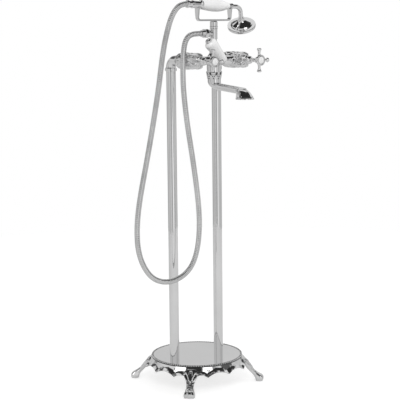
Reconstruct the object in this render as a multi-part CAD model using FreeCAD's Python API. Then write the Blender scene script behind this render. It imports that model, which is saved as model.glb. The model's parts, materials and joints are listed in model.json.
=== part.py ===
"""Freestanding bath tap: two standpipes on a claw-foot base carry two valves, a spout and a hand shower.

Millimetres, +Z up. The origin is the centre of the base on the floor. The spout and the handles
face -Y, and +X is to the right of someone who stands in front of the tap.
"""

import FreeCAD, Part
import math
import os

from FreeCAD import Placement, Rotation, Vector

os.makedirs("parts", exist_ok=True)

RIGHT = Vector(1, 0, 0)
LEFT = Vector(-1, 0, 0)
FRONT = Vector(0, -1, 0)
UP = Vector(0, 0, 1)
DOWN = Vector(0, 0, -1)
SIDES = (("left", -1), ("right", 1))

# Clearances
running_gap = 0.05
soft_gap = 0.3
thread_gap = 0.02

# Base
plate_radius = 118.0
plate_top = 70.0
plate_thickness = 4.0
rim_reach = 3.8
rim_lip = 0.8
skirt_wall = 3.0
skirt_flange_width = 12.5
skirt_edge_radius = 140.5
skirt_edge_height = 42.0
skirt_arches = ((12.5, 62.0, 51.0), (33.5, 30.0, 47.5))

# Feet: their outer and inner lines as (height, distance beyond the skirt), and their widths
foot_count = 4
foot_clear = 0.8
foot_heel_reach = 18.0
foot_outer_line = (
    (62.0, 2.75),
    (56.0, 2.875),
    (46.0, 3.25),
    (35.0, 9.0),
    (26.5, 17.5),
    (20.5, 26.5),
    (16.5, 34.5),
    (10.5, 39.1),
    (4.5, 39.5),
    (foot_clear, 38.3),
)
foot_inner_line = ((foot_clear, foot_heel_reach), (8.0, 16.5), (15.0, 11.0), (22.0, 3.5), (30.0, -4.5))
foot_root_line = ((42.0, -16.5), (50.0, -13.5))
foot_half_widths = (
    (63.0, 3.0),
    (61.5, 10.0),
    (58.0, 17.5),
    (52.0, 21.5),
    (44.0, 17.5),
    (36.0, 13.8),
    (29.0, 11.5),
    (22.0, 10.0),
    (14.0, 12.8),
    (7.0, 15.6),
    (foot_clear, 14.5),
)
pad_radius = 6.5
pad_reach = 28.0
pad_recess = 1.7
foot_screw_height = 53.0
foot_screw_radius = 2.0
foot_screw_head_radius = 4.0
foot_screw_head_height = 3.0
foot_screw_head_clear = 1.0
foot_screw_seat = 7.56
foot_screw_length = 9.5

# Standpipes and their water inlets
leg_spacing = 150.0
leg_radius = 12.5
inlet_thread_radius = 10.48
inlet_relief_radius = 9.6
inlet_shank_radius = 11.2
inlet_bore_radius = 7.0
inlet_bottom = 28.0
inlet_stub = 26.0
inlet_relief_length = 2.0
inlet_engagement = 40.0
inlet_hole_gap = 0.22
lock_nut_across_flats = 30.0
lock_nut_height = 8.0
lock_washer_radius = 17.0
lock_washer_height = 1.5

# Elbows
elbow_radius = 13.0
elbow_bore_radius = 9.0
elbow_bend = 20.0
elbow_straight = 2.0
elbow_nut_radius = 15.2
elbow_nut_below = 5.0
elbow_nut_above = 4.0

# Valves
valve_height = 858.0
housing_start = 34.0
housing_radius = 20.6
housing_collar_radius = 15.6
housing_front = 127.0
housing_nose_radius = 12.5
cartridge_radius = 11.0
cartridge_start = 62.0
bonnet_radius = 10.2
bonnet_length = 19.5
spindle_radius = 3.8
spindle_start = 112.0
hub_start = 150.0
arm_plane = 173.5
arm_reach = 30.6
arm_radius = 3.3
arm_knob_radius = 5.9
hub_radius = 9.2
hub_front = 177.5
cap_radius = 13.4
cap_thickness = 5.6
cap_edge = 1.6
cap_spigot_radius = 6.0
cap_spigot_length = 2.5
handle_screw_radius = 2.0
handle_screw_head_radius = 4.0
handle_screw_head_height = 2.2
handle_screw_length = 12.0

# Mixer body
body_forward = 84.0
body_radius = 19.0
body_foot_radius = 16.0
body_below_valves = 52.0
body_shoulder_rise = 6.0
body_shoulder_radius = 21.4
body_above_valves = 30.0
body_bore_radius = 9.0
bar_radius = 11.0
bar_bore_radius = 6.5
boss_radius = 14.0
boss_front = 108.0

# Spout
spout_reach = 204.5
spout_tube_radius = 9.0
spout_wall = 1.8
spout_drop = 7.6
spout_bend_out = 30.0
spout_bend_sections = 5
spout_axis_below_body = 15.5
mouth_radius = 22.5
mouth_below_axis = 27.0
mouth_straight = 7.0
mouth_lip_radius = 23.4
mouth_lip_height = 3.0
straightener_thickness = 4.0
straightener_inset = 2.5
straightener_hole_radius = 2.2
straightener_hole_pitch = 6.2
spout_nut_radius = 17.0
spout_nut_half_height = 4.0

# Diverter
diverter_bonnet_length = 6.0
diverter_bonnet_radius = 13.5
diverter_cartridge_radius = 8.0
diverter_cartridge_length = 16.0
diverter_spindle_radius = 3.5
lever_angle = 45.0
lever_plane = 125.0
lever_hub_radius = 10.5
lever_hub_thickness = 3.5
lever_hub_gap = 0.5
lever_tang_radius = 3.5
lever_root_radius = 11.2
lever_length = 68.5
lever_tip_radius = 8.4
lever_tip_length = 7.5
lever_tip_crown = 2.5

# Riser, hose outlet and cradle
riser_radius = 7.8
riser_wall = 1.8
riser_depth = 10.0
riser_length = 24.0
tee_height = 29.0
tee_radius = 9.2
tee_ring_radius = 10.4
outlet_nipple_radius = 6.5
outlet_nipple_bore_radius = 4.2
outlet_nipple_end = 26.0
outlet_nut_start = 16.0
outlet_nut_end = 41.0
outlet_nut_radius = 12.2
outlet_nut_tip_radius = 8.6
washer_thickness = 2.0
post_radius = 9.7
post_height = 16.5
cradle_thickness = 4.5
cradle_fork_place = 53.0
cradle_fork_thickness = 3.6
cradle_foot_half_width = 5.0
cradle_fork_half_width = 8.0
cradle_corner_radius = 9.0
cradle_fork_below_axis = 4.2
cradle_screw_radius = 2.5
cradle_screw_head_radius = 4.5
cradle_screw_length = 12.0

# Hand shower, along its own axis from the middle of the cradle
handset_above_cradle = 39.7
handset_droop = 2.3
handset_roll = 24.0
handset_tube_radius = 5.0
handset_tube_bore_radius = 4.0
handset_thread_radius = 7.0
handset_end = 87.0
handset_nut_length = 14.5
handset_nut_radius = 10.3
handset_nut_tip_radius = 8.4
handset_thread_start = 77.0
handset_thread_length = 10.0
rear_ferrule_radius = 9.5
rear_ferrule_flare_radius = 12.2
grip_start = 40.0
grip_end = 49.0
grip_radius = 16.1
front_ferrule_radius = 7.0
front_ferrule_length = 13.0
neck_radius = 5.5
neck_straight = 73.0
neck_bend_radius = 24.0
neck_bend_angle = 64.7
neck_drop = 17.0
rose_radius = 36.8
rose_wall = 2.0
rose_height = 29.0
rose_rim_height = 8.0
rose_dome_radius = 26.5
rose_collar_radius = 8.2
spray_plate_thickness = 2.0
spray_hole_radius = 0.8
spray_rings = 4

# Hose, whose route lies in the upright plane through the outlet and the hand shower: its corners are
# (distance to the right of the riser, height over the outlet)
hose_radius = 7.0
hose_groove_radius = 6.3
hose_bore_radius = 5.4
hose_rib_count = 196
hose_rib_share = 0.62
hose_plain_end = 14.0
hose_lift_gap = 0.7
hose_route = (
    (-66.0, 0.0),
    (-89.0, -11.0),
    (-104.0, -32.5),
    (-107.6, -80.5),
    (-103.0, -140.5),
    (-89.0, -226.5),
    (-71.0, -323.5),
    (-56.5, -418.5),
    (-52.0, -486.5),
    (-58.0, -546.5),
    (-77.0, -594.5),
    (-110.0, -625.5),
    (-153.0, -634.0),
    (-197.0, -620.5),
    (-231.0, -584.5),
    (-250.0, -535.5),
    (-253.0, -474.5),
    (-240.0, -404.5),
    (-213.0, -281.5),
    (-183.0, -131.5),
    (-168.0, -41.5),
    (-157.5, 13.5),
    (-145.6, 51.7),
    (-131.4, 67.2),
    (-112.0, 75.2),
)

# Sizes that follow from the ones above
plate_bottom = plate_top - plate_thickness
skirt_top_radius = plate_radius + rim_reach - rim_lip
leg_offset = leg_spacing / 2
leg_bore_radius = inlet_shank_radius + thread_gap
bonnet_bore_radius = spindle_radius + running_gap
leg_top = valve_height - elbow_bend - elbow_straight
body_bottom = valve_height - body_below_valves
body_shoulder = valve_height + body_shoulder_rise
body_top = valve_height + body_above_valves
spout_axis_height = body_bottom - spout_axis_below_body
mouth_bottom = spout_axis_height - mouth_below_axis
tee_bottom = body_top + riser_length
tee_top = tee_bottom + tee_height
outlet_height = tee_bottom + tee_height / 2
cradle_bottom = tee_top + post_height
handset_height = cradle_bottom + handset_above_cradle
cradle_fork_top = handset_height - cradle_fork_below_axis
pad_place = skirt_edge_radius + pad_reach
skirt_slope = (skirt_edge_radius - skirt_top_radius) / (plate_bottom - skirt_edge_height)
foot_screw_start = skirt_edge_radius - skirt_slope * (foot_screw_height - skirt_edge_height) - foot_screw_seat
droop = math.radians(handset_droop)
lever = math.radians(lever_angle)


def closed_face(outline):
    """A face in the local XZ plane: single points join by lines, three by an arc, more by a smooth curve."""
    edges = []
    first = None
    last = None
    for item in outline:
        stretch = item if isinstance(item, list) else [item]
        points = [Vector(radius, 0, along) for along, radius in stretch]
        if last is not None and (points[0] - last).Length > 1e-6:
            edges.append(Part.LineSegment(last, points[0]).toShape())
        if len(points) == 3:
            edges.append(Part.Arc(*points).toShape())
        elif len(points) > 3:
            curve = Part.BSplineCurve()
            curve.interpolate(points)
            edges.append(curve.toShape())
        first = first or points[0]
        last = points[-1]
    if (last - first).Length > 1e-6:
        edges.append(Part.LineSegment(last, first).toShape())
    return Part.Face(Part.Wire(edges))


def turned(outline, origin, direction=UP):
    """A solid of revolution: the outline holds (distance along the axis, radius) points."""
    solid = closed_face(outline).revolve(Vector(0, 0, 0), UP, 360)
    solid.Placement = Placement(origin, Rotation(UP, direction))
    return solid


def dome(along, radius, height):
    """The three points of a spherical cap that starts at a radius and ends on the axis."""
    ball = (radius * radius + height * height) / (2 * height)
    centre = along + height - ball
    middle = radius * 0.6
    return [(along, radius), (centre + math.sqrt(ball * ball - middle * middle), middle), (along + height, 0.0)]


def rod(radius, start, length, direction=UP):
    return Part.makeCylinder(radius, length, start, direction)


def ring(outer, inner, start, length, direction=UP):
    return rod(outer, start, length, direction).cut(rod(inner, start, length, direction))


def circle_across(point, direction, side, radius):
    """A circle across a direction, whose starting point always faces the same side."""
    along = Vector(direction).normalize()
    third = along.cross(side)
    turn = FreeCAD.Matrix(
        side.x, third.x, along.x, point.x,
        side.y, third.y, along.y, point.y,
        side.z, third.z, along.z, point.z,
        0, 0, 0, 1,
    )
    circle = Part.makeCircle(radius)
    circle.Placement = Placement(turn)
    return Part.Wire(circle)


def joined(*shapes):
    whole = shapes[0]
    for shape in shapes[1:]:
        whole = whole.fuse(shape)
    return whole.removeSplitter()


def around(shape, angle):
    """A copy turned about the origin's upright axis."""
    copy = shape.copy()
    copy.rotate(Vector(0, 0, 0), UP, angle)
    return copy


def save(shape, node):
    shape.exportStep("parts/" + node + ".step")


# Base


def foot_angles():
    return [45.0 + 360.0 / foot_count * i for i in range(foot_count)]


def base_plate():
    plate = rod(plate_radius, Vector(0, 0, plate_bottom), plate_thickness)
    for _, side in SIDES:
        hole_radius = inlet_shank_radius + inlet_hole_gap
        plate = plate.cut(rod(hole_radius, Vector(side * leg_offset, 0, plate_bottom), plate_thickness))
    return plate


def beaded_rim():
    outer = plate_radius + rim_reach
    outline = [
        (plate_bottom, plate_radius),
        (plate_bottom, skirt_top_radius),
        [(plate_bottom + rim_lip, outer - rim_lip / 2), (plate_top - 1.5, outer), (plate_top, outer - 1.2)],
        (plate_top + rim_lip, outer - 2.0),
        (plate_top + rim_lip, plate_radius + rim_lip),
        (plate_top, plate_radius),
    ]
    return turned(outline, Vector(0, 0, 0))


def arch_cutter(angle, radius, top):
    start = Vector(skirt_top_radius - 2 * skirt_flange_width, 0, top - radius)
    return around(rod(radius, start, skirt_edge_radius, RIGHT), angle)


def skirt_blank():
    """A flared ring under the plate, before its lower edge is arched."""
    wall_bottom = skirt_edge_height - skirt_wall
    ceiling = plate_bottom - skirt_wall
    flange_radius = skirt_top_radius - skirt_flange_width
    outline = [
        (plate_bottom, flange_radius),
        (plate_bottom, skirt_top_radius),
        (skirt_edge_height, skirt_edge_radius),
        (wall_bottom, skirt_edge_radius),
        (wall_bottom, skirt_edge_radius - skirt_wall),
        (ceiling, skirt_edge_radius - skirt_wall - skirt_slope * (ceiling - wall_bottom)),
        (ceiling, flange_radius),
    ]
    return turned(outline, Vector(0, 0, 0))


def base_skirt():
    """The flared ring with its arches: each is (degrees to both sides of the middle, radius, top)."""
    skirt = skirt_blank()
    for angle in foot_angles():
        middle = angle + 180.0 / foot_count
        for turn, radius, top in skirt_arches:
            skirt = skirt.cut(arch_cutter(middle - turn, radius, top))
            skirt = skirt.cut(arch_cutter(middle + turn, radius, top))
    return skirt


def beyond_skirt(line):
    """A line of (height, distance beyond the skirt) as (height, radius)."""
    return [
        (height, skirt_edge_radius - skirt_slope * max(0.0, height - skirt_edge_height) + reach)
        for height, reach in line
    ]


def foot_blank():
    """A cabriole foot along +X: its side outline and its front outline, both cut through one block."""
    outer = beyond_skirt(foot_outer_line)
    inner = beyond_skirt(foot_inner_line)
    root = beyond_skirt(foot_root_line)
    slab = closed_face([outer, inner[0], inner] + root).extrude(Vector(0, skirt_edge_radius, 0))
    slab.translate(Vector(0, -skirt_edge_radius / 2, 0))
    edge = list(foot_half_widths)
    mirrored = [(height, -width) for height, width in reversed(edge)]
    front = closed_face([edge, mirrored]).extrude(Vector(0, 2 * skirt_edge_radius, 0))
    front.rotate(Vector(0, 0, 0), UP, -90)
    return slab.common(front)


def foot_screw():
    start = Vector(foot_screw_start, 0, foot_screw_height)
    head_start = start - Vector(foot_screw_head_height, 0, 0)
    head = rod(foot_screw_head_radius, head_start, foot_screw_head_height, RIGHT)
    return joined(head, rod(foot_screw_radius, start, foot_screw_length, RIGHT))


def foot_pad():
    return rod(pad_radius, Vector(pad_place, 0, 0), foot_clear + pad_recess)


def base_parts():
    skirt = base_skirt()
    whole_foot = foot_blank().cut(foot_pad()).cut(skirt_blank())
    head_space = foot_screw_head_radius + foot_screw_head_clear
    whole_foot = whole_foot.cut(rod(head_space, Vector(0, 0, foot_screw_height), foot_screw_start, RIGHT))
    screws = []
    pads = []
    names = ("back_right_foot", "back_left_foot", "front_left_foot", "front_right_foot")
    for name, angle in zip(names, foot_angles()):
        screw = around(foot_screw(), angle)
        foot = around(whole_foot, angle).cut(screw)
        skirt = skirt.cut(screw)
        save(foot, name)
        screws.append(screw)
        pads.append(around(foot_pad(), angle))
    save(base_plate(), "base_plate")
    save(beaded_rim(), "beaded_rim")
    save(skirt, "base_skirt")
    save(Part.makeCompound(screws), "foot_screws")
    save(Part.makeCompound(pads), "foot_pads")


# Standpipes


def lock_nut(x):
    top = plate_bottom - lock_washer_height
    corner = lock_nut_across_flats / math.sqrt(3)
    corners = [
        Vector(x + corner * math.cos(math.radians(60 * i)), corner * math.sin(math.radians(60 * i)), top)
        for i in range(6)
    ]
    prism = Part.Face(Part.makePolygon(corners + corners[:1])).extrude(Vector(0, 0, -lock_nut_height))
    return prism.cut(rod(leg_bore_radius, Vector(x, 0, top - lock_nut_height), lock_nut_height))


def inlet_tail(x):
    """A threaded stub for the supply nut, a relief groove, and the wider shank that holds the standpipe."""
    stub = ring(inlet_thread_radius, inlet_bore_radius, Vector(x, 0, inlet_bottom), inlet_stub)
    relief_start = inlet_bottom + inlet_stub
    relief = ring(inlet_relief_radius, inlet_bore_radius, Vector(x, 0, relief_start), inlet_relief_length)
    shank_start = relief_start + inlet_relief_length
    shank_length = plate_top + inlet_engagement - shank_start
    shank = ring(inlet_shank_radius, inlet_bore_radius, Vector(x, 0, shank_start), shank_length)
    return joined(stub, relief, shank)


def elbow(x):
    """A quarter bend from the top of a standpipe to the valve axis."""
    height = valve_height - elbow_bend
    solids = []
    for radius in (elbow_radius, elbow_bore_radius):
        upright = rod(radius, Vector(x, 0, leg_top), height - leg_top)
        disc = Part.Face(Part.Wire(Part.makeCircle(radius, Vector(x, 0, height), UP)))
        bend = disc.revolve(Vector(x, -elbow_bend, height), RIGHT, 90)
        level = rod(radius, Vector(x, -elbow_bend, valve_height), housing_start - elbow_bend, FRONT)
        solids.append(joined(upright, bend, level))
    return solids[0].cut(solids[1])


def elbow_nut(x):
    outer = [
        (leg_top - elbow_nut_below, leg_radius),
        (leg_top - elbow_nut_below, elbow_nut_radius - 1.0),
        (leg_top - elbow_nut_below + 1.0, elbow_nut_radius),
        (leg_top + elbow_nut_above - 2.0, elbow_nut_radius),
        (leg_top + elbow_nut_above, elbow_radius + 0.6),
        (leg_top + elbow_nut_above, elbow_radius),
        (leg_top, elbow_radius),
        (leg_top, leg_radius),
    ]
    return turned(outer, Vector(x, 0, 0))


def standpipe_parts():
    nuts = []
    washers = []
    for name, side in SIDES:
        x = side * leg_offset
        save(ring(leg_radius, leg_bore_radius, Vector(x, 0, plate_top), leg_top - plate_top), name + "_leg")
        save(inlet_tail(x), name + "_inlet_tail")
        nuts.append(lock_nut(x))
        washer_start = Vector(x, 0, plate_bottom - lock_washer_height)
        washers.append(ring(lock_washer_radius, leg_bore_radius, washer_start, lock_washer_height))
        save(elbow_nut(x), name + "_elbow_nut")
        save(elbow(x), name + "_elbow")
    save(Part.makeCompound(nuts), "leg_lock_nuts")
    save(Part.makeCompound(washers), "leg_lock_washers")


# Valves


def valve_axis(side, forward=0.0):
    return Vector(side * leg_offset, -forward, valve_height)


def housing_envelope(side):
    outline = [
        (housing_start, 0.0),
        (housing_start, housing_collar_radius),
        (housing_start + 3.0, housing_collar_radius),
        [
            (housing_start + 3.0, housing_collar_radius),
            (housing_start + 8.0, housing_radius - 1.2),
            (housing_start + 22.0, housing_radius),
            (housing_front - 34.0, housing_radius),
            (housing_front - 14.0, housing_radius - 0.8),
            (housing_front - 4.0, housing_nose_radius + 3.6),
            (housing_front, housing_nose_radius),
        ],
        (housing_front, 0.0),
    ]
    return turned(outline, valve_axis(side), FRONT)


def valve_housing(side):
    housing = housing_envelope(side)
    cavity = rod(cartridge_radius, valve_axis(side, cartridge_start), housing_front - cartridge_start, FRONT)
    inlet = rod(elbow_bore_radius, valve_axis(side, housing_start), cartridge_start - housing_start, FRONT)
    port = rod(bar_bore_radius, valve_axis(side, body_forward), leg_offset, RIGHT if side < 0 else LEFT)
    return housing.cut(cavity).cut(inlet).cut(port)


def cartridge(side):
    """The valve's ceramic disc cartridge, with a side port towards the mixer body."""
    body = rod(cartridge_radius, valve_axis(side, cartridge_start), housing_front - cartridge_start, FRONT)
    waterway = rod(bar_bore_radius, valve_axis(side, cartridge_start), spindle_start - cartridge_start - 10.0, FRONT)
    shaft_start = valve_axis(side, spindle_start - soft_gap)
    shaft = rod(bonnet_bore_radius, shaft_start, housing_front - spindle_start + soft_gap, FRONT)
    port = rod(bar_bore_radius, valve_axis(side, body_forward), cartridge_radius, RIGHT if side < 0 else LEFT)
    return body.cut(waterway).cut(shaft).cut(port)


def bonnet(side):
    front = housing_front + bonnet_length
    outline = [
        (housing_front, bonnet_bore_radius),
        (housing_front, housing_nose_radius - 1.5),
        (housing_front + 3.0, housing_nose_radius - 1.5),
        [
            (housing_front + 3.0, bonnet_radius - 1.2),
            (housing_front + 6.0, bonnet_radius),
            (housing_front + 12.0, bonnet_radius - 0.8),
            (front - 5.0, bonnet_radius - 3.2),
            (front, bonnet_radius - 5.0),
        ],
        (front, bonnet_bore_radius),
    ]
    return turned(outline, valve_axis(side), FRONT)


def spindle(side):
    shaft = rod(spindle_radius, valve_axis(side, spindle_start), hub_front - 8.0 - spindle_start, FRONT)
    return shaft.cut(handle_screw(side))


def handle_screw(side):
    head_start = hub_front - cap_spigot_length - handle_screw_head_height
    head = rod(handle_screw_head_radius, valve_axis(side, head_start), handle_screw_head_height, FRONT)
    shank_start = valve_axis(side, head_start - handle_screw_length)
    return joined(head, rod(handle_screw_radius, shank_start, handle_screw_length, FRONT))


def crosshead(side):
    """A hub with four flared arms, the upright and level ones alike."""
    hub_outline = [
        (hub_start, 0.0),
        (hub_start, 5.6),
        [
            (hub_start, 5.6),
            (hub_start + 6.0, 5.2),
            (hub_start + 12.0, 7.0),
            (arm_plane - 4.0, hub_radius),
            (arm_plane + 2.0, hub_radius),
        ],
        (hub_front, cap_radius - 1.2),
        (hub_front, 0.0),
    ]
    handle = turned(hub_outline, valve_axis(side), FRONT)
    arm = [
        [
            (hub_radius, arm_radius + 1.6),
            (arm_reach - 14.0, arm_radius),
            (arm_reach - 8.0, arm_radius + 0.6),
            (arm_reach - 4.0, arm_knob_radius),
        ],
        [
            (arm_reach - 4.0, arm_knob_radius),
            (arm_reach - 1.6, arm_knob_radius - 0.4),
            (arm_reach, arm_knob_radius - 2.8),
        ],
        (arm_reach, 0.0),
    ]
    opposite = [item[::-1] if isinstance(item, list) else item for item in arm[::-1]]
    opposite = [
        [(-along, radius) for along, radius in item] if isinstance(item, list) else (-item[0], item[1])
        for item in opposite
    ]
    for direction in (UP, RIGHT):
        handle = handle.fuse(turned(opposite + arm, valve_axis(side, arm_plane), direction))
    head_start = hub_front - cap_spigot_length - handle_screw_head_height
    head_room = rod(handle_screw_head_radius, valve_axis(side, head_start), handle_screw_head_height, FRONT)
    shaft = rod(spindle_radius, valve_axis(side, hub_start), hub_front - 8.0 - hub_start, FRONT)
    return handle.cut(index_cap(side)).cut(head_room).cut(shaft).cut(handle_screw(side))


def index_cap(side):
    outline = [
        (hub_front - cap_spigot_length, 0.0),
        (hub_front - cap_spigot_length, cap_spigot_radius),
        (hub_front, cap_spigot_radius),
        (hub_front, cap_radius),
        dome(hub_front + cap_edge, cap_radius, cap_thickness - cap_edge),
    ]
    return turned(outline, valve_axis(side), FRONT)


def valve_parts():
    for name, side in SIDES:
        save(valve_housing(side), name + "_valve_housing")
        save(cartridge(side), name + "_valve_cartridge")
        save(bonnet(side), name + "_bonnet")
        save(spindle(side), name + "_spindle")
        save(handle_screw(side), name + "_handle_screw")
        save(crosshead(side), name + "_crosshead")
        save(index_cap(side), name + "_index_cap")


# Mixer body and spout


def body_axis(height):
    return Vector(0, -body_forward, height)


def mixer_body():
    riser_seat = body_top - riser_depth
    column = [
        (body_bottom, 0.0),
        (body_bottom, body_foot_radius),
        (body_bottom + spout_nut_half_height, body_foot_radius),
        [
            (body_bottom + spout_nut_half_height, body_foot_radius),
            (body_bottom + 14.0, body_foot_radius + 1.4),
            (body_bottom + 32.0, body_radius),
            (body_shoulder - 14.0, body_radius),
            (body_shoulder - 5.0, body_radius + 0.6),
            (body_shoulder, body_shoulder_radius),
        ],
        [
            (body_shoulder + 1.5, body_shoulder_radius),
            (body_shoulder + 9.0, riser_radius + 6.5),
            (body_top, riser_radius + 2.2),
        ],
        (body_top, 0.0),
    ]
    body = turned(column, body_axis(0.0))
    bar = rod(bar_radius, Vector(-leg_offset, -body_forward, valve_height), leg_spacing, RIGHT)
    boss = rod(boss_radius, Vector(0, -body_forward, valve_height), boss_front - body_forward, FRONT)
    body = joined(body, bar, boss)
    bar_bore = rod(bar_bore_radius, Vector(-leg_offset, -body_forward, valve_height), leg_spacing, RIGHT)
    upright_bore = rod(body_bore_radius, body_axis(body_bottom), riser_seat - body_bottom)
    seat = rod(riser_radius, body_axis(riser_seat), riser_depth)
    pocket_start = Vector(0, diverter_cartridge_length - boss_front, valve_height)
    pocket = rod(diverter_cartridge_radius, pocket_start, diverter_cartridge_length, FRONT)
    for _, side in SIDES:
        body = body.cut(housing_envelope(side))
    return body.cut(bar_bore).cut(upright_bore).cut(seat).cut(pocket)


def spout_run():
    """Where the bend ends, and the straight way from there to the middle of the mouth's dome."""
    start = Vector(0, -body_forward - spout_bend_out, spout_axis_height)
    return start, Vector(0, -spout_reach, spout_axis_height - spout_drop) - start


def on_quarter(start, end, turn):
    """A point of the quarter ellipse that leaves the start straight down and reaches the end level."""
    forward = start.y + (end.y - start.y) * (1 - math.cos(turn))
    return Vector(0, forward, start.z + (end.z - start.z) * math.sin(turn))


def mouth_dome(trim):
    """The bell over the mouth, or its inside when trimmed by the wall."""
    radius = mouth_radius - trim
    outline = [
        (mouth_bottom - trim, 0.0),
        (mouth_bottom - trim, radius),
        dome(mouth_bottom + mouth_straight, radius, radius),
    ]
    return turned(outline, Vector(0, -spout_reach, 0))


def spout_skin(trim):
    """Inlet, bend, tube and bell; the bend runs through circles between two quarter ellipses."""
    top = body_axis(body_bottom - spout_nut_half_height)
    bend_end, run = spout_run()
    square = run.cross(RIGHT).normalize() * spout_tube_radius
    foot = FRONT * body_foot_radius
    centres = []
    sections = []
    for i in range(spout_bend_sections):
        turn = math.pi / 2 * i / (spout_bend_sections - 1)
        front = on_quarter(top + foot, bend_end + square, turn)
        back = on_quarter(top - foot, bend_end - square, turn)
        across = front - back
        centre = (front + back) / 2
        centres.append(centre)
        sections.append(circle_across(centre, RIGHT.cross(across), RIGHT, across.Length / 2 - trim))
    spine = Part.BSplineCurve()
    spine.interpolate(centres)
    bend = Part.Wire(spine.toShape()).makePipeShell(sections, True, False)
    inlet = rod(body_foot_radius - trim, top, spout_nut_half_height + trim)
    tube = rod(spout_tube_radius - trim, bend_end, run.Length, run)
    return inlet.fuse(bend).fuse(tube).fuse(mouth_dome(trim))


def spout():
    lip_outline = [
        (mouth_bottom, mouth_radius - spout_wall),
        (mouth_bottom, mouth_lip_radius),
        (mouth_bottom + mouth_lip_height - 1.0, mouth_lip_radius),
        (mouth_bottom + mouth_lip_height, mouth_radius - 0.5),
        (mouth_bottom + mouth_lip_height, mouth_radius - spout_wall),
    ]
    lip = turned(lip_outline, Vector(0, -spout_reach, 0))
    outside = spout_skin(0.0).fuse(lip)
    return outside.cut(spout_skin(spout_wall))


def spout_nut():
    start = body_axis(body_bottom - spout_nut_half_height)
    return ring(spout_nut_radius, body_foot_radius, start, 2 * spout_nut_half_height)


def flow_straightener():
    radius = mouth_radius - spout_wall
    start = Vector(0, -spout_reach, mouth_bottom + straightener_inset)
    disc = rod(radius, start, straightener_thickness)
    rows = int(radius / straightener_hole_pitch)
    for i in range(-rows, rows + 1):
        for j in range(-rows, rows + 1):
            x = straightener_hole_pitch * (i + 0.5 * (j % 2))
            y = straightener_hole_pitch * j * math.sqrt(3) / 2
            if math.hypot(x, y) + 1.6 * straightener_hole_radius < radius:
                disc = disc.cut(rod(straightener_hole_radius, start + Vector(x, y, 0), straightener_thickness))
    return disc


def body_parts():
    save(mixer_body(), "mixer_body")
    save(spout(), "spout")
    save(spout_nut(), "spout_nut")
    save(flow_straightener(), "flow_straightener")


# Diverter


def diverter_axis(forward):
    return Vector(0, -forward, valve_height)


def lever_direction():
    return Vector(-math.sin(lever), 0, math.cos(lever))


def lever_hub_start():
    return boss_front + diverter_bonnet_length + lever_hub_gap


def diverter_bonnet():
    outline = [
        (boss_front, diverter_spindle_radius + running_gap),
        (boss_front, boss_radius),
        (boss_front + 2.0, boss_radius),
        (boss_front + diverter_bonnet_length, diverter_bonnet_radius - 2.0),
        (boss_front + diverter_bonnet_length, diverter_spindle_radius + running_gap),
    ]
    return turned(outline, diverter_axis(0.0), FRONT)


def diverter_cartridge():
    start = boss_front - diverter_cartridge_length
    body = rod(diverter_cartridge_radius, diverter_axis(start), diverter_cartridge_length, FRONT)
    shaft_radius = diverter_spindle_radius + running_gap
    shaft = rod(shaft_radius, diverter_axis(start + 6.0 - soft_gap), diverter_cartridge_length, FRONT)
    return body.cut(shaft)


def diverter_spindle():
    start = boss_front - diverter_cartridge_length + 6.0
    return rod(diverter_spindle_radius, diverter_axis(start), lever_hub_start() - start, FRONT)


def lever_hub():
    """The disc on the spindle, with the tang that the porcelain is set on."""
    disc = rod(lever_hub_radius, diverter_axis(lever_hub_start()), lever_hub_thickness, FRONT)
    tang_end = lever_length + lever_tip_length / 3
    tang = rod(lever_tang_radius, diverter_axis(lever_plane), tang_end, lever_direction())
    neck_start = lever_hub_start()
    neck = rod(lever_tang_radius, diverter_axis(neck_start), lever_plane + 1.0 - neck_start, FRONT)
    return joined(disc, neck, tang)


def lever_outer():
    root = lever_root_radius
    outline = [
        (-root + 3.0, 0.0),
        [
            (-root + 3.0, 0.0),
            (-root + 4.5, 6.0),
            (-1.0, root - 0.7),
            (8.0, root),
            (24.0, root + 1.4),
            (42.0, root + 3.4),
            (56.0, root + 4.7),
            (64.0, root + 4.2),
            (lever_length, lever_tip_radius + 1.2),
        ],
        (lever_length, 0.0),
    ]
    return turned(outline, diverter_axis(lever_plane), lever_direction())


def lever_grip():
    block_depth = lever_plane
    hub_face = lever_hub_start() + lever_hub_thickness
    reach = 2 * lever_length
    block = Part.makeBox(2 * reach, block_depth, 2 * reach, Vector(-reach, -hub_face, valve_height - reach))
    near_hub = rod(lever_root_radius + 6.0, diverter_axis(0.0), block_depth + lever_plane, FRONT)
    return lever_outer().cut(block.common(near_hub)).cut(lever_hub())


def lever_tip():
    outline = [
        (lever_length, 0.0),
        (lever_length, lever_tip_radius),
        dome(lever_length + lever_tip_length - lever_tip_crown, lever_tip_radius, lever_tip_crown),
    ]
    return turned(outline, diverter_axis(lever_plane), lever_direction()).cut(lever_hub())


def diverter_parts():
    save(diverter_bonnet(), "diverter_bonnet")
    save(diverter_cartridge(), "diverter_cartridge")
    save(diverter_spindle(), "diverter_spindle")
    save(lever_hub(), "lever_hub")
    save(lever_grip(), "lever_grip")
    save(lever_tip(), "lever_tip")


# Riser, hose outlet and cradle


def riser():
    start = body_axis(body_top - riser_depth)
    return ring(riser_radius, riser_radius - riser_wall, start, tee_bottom + riser_depth / 2 - start.z)


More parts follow.
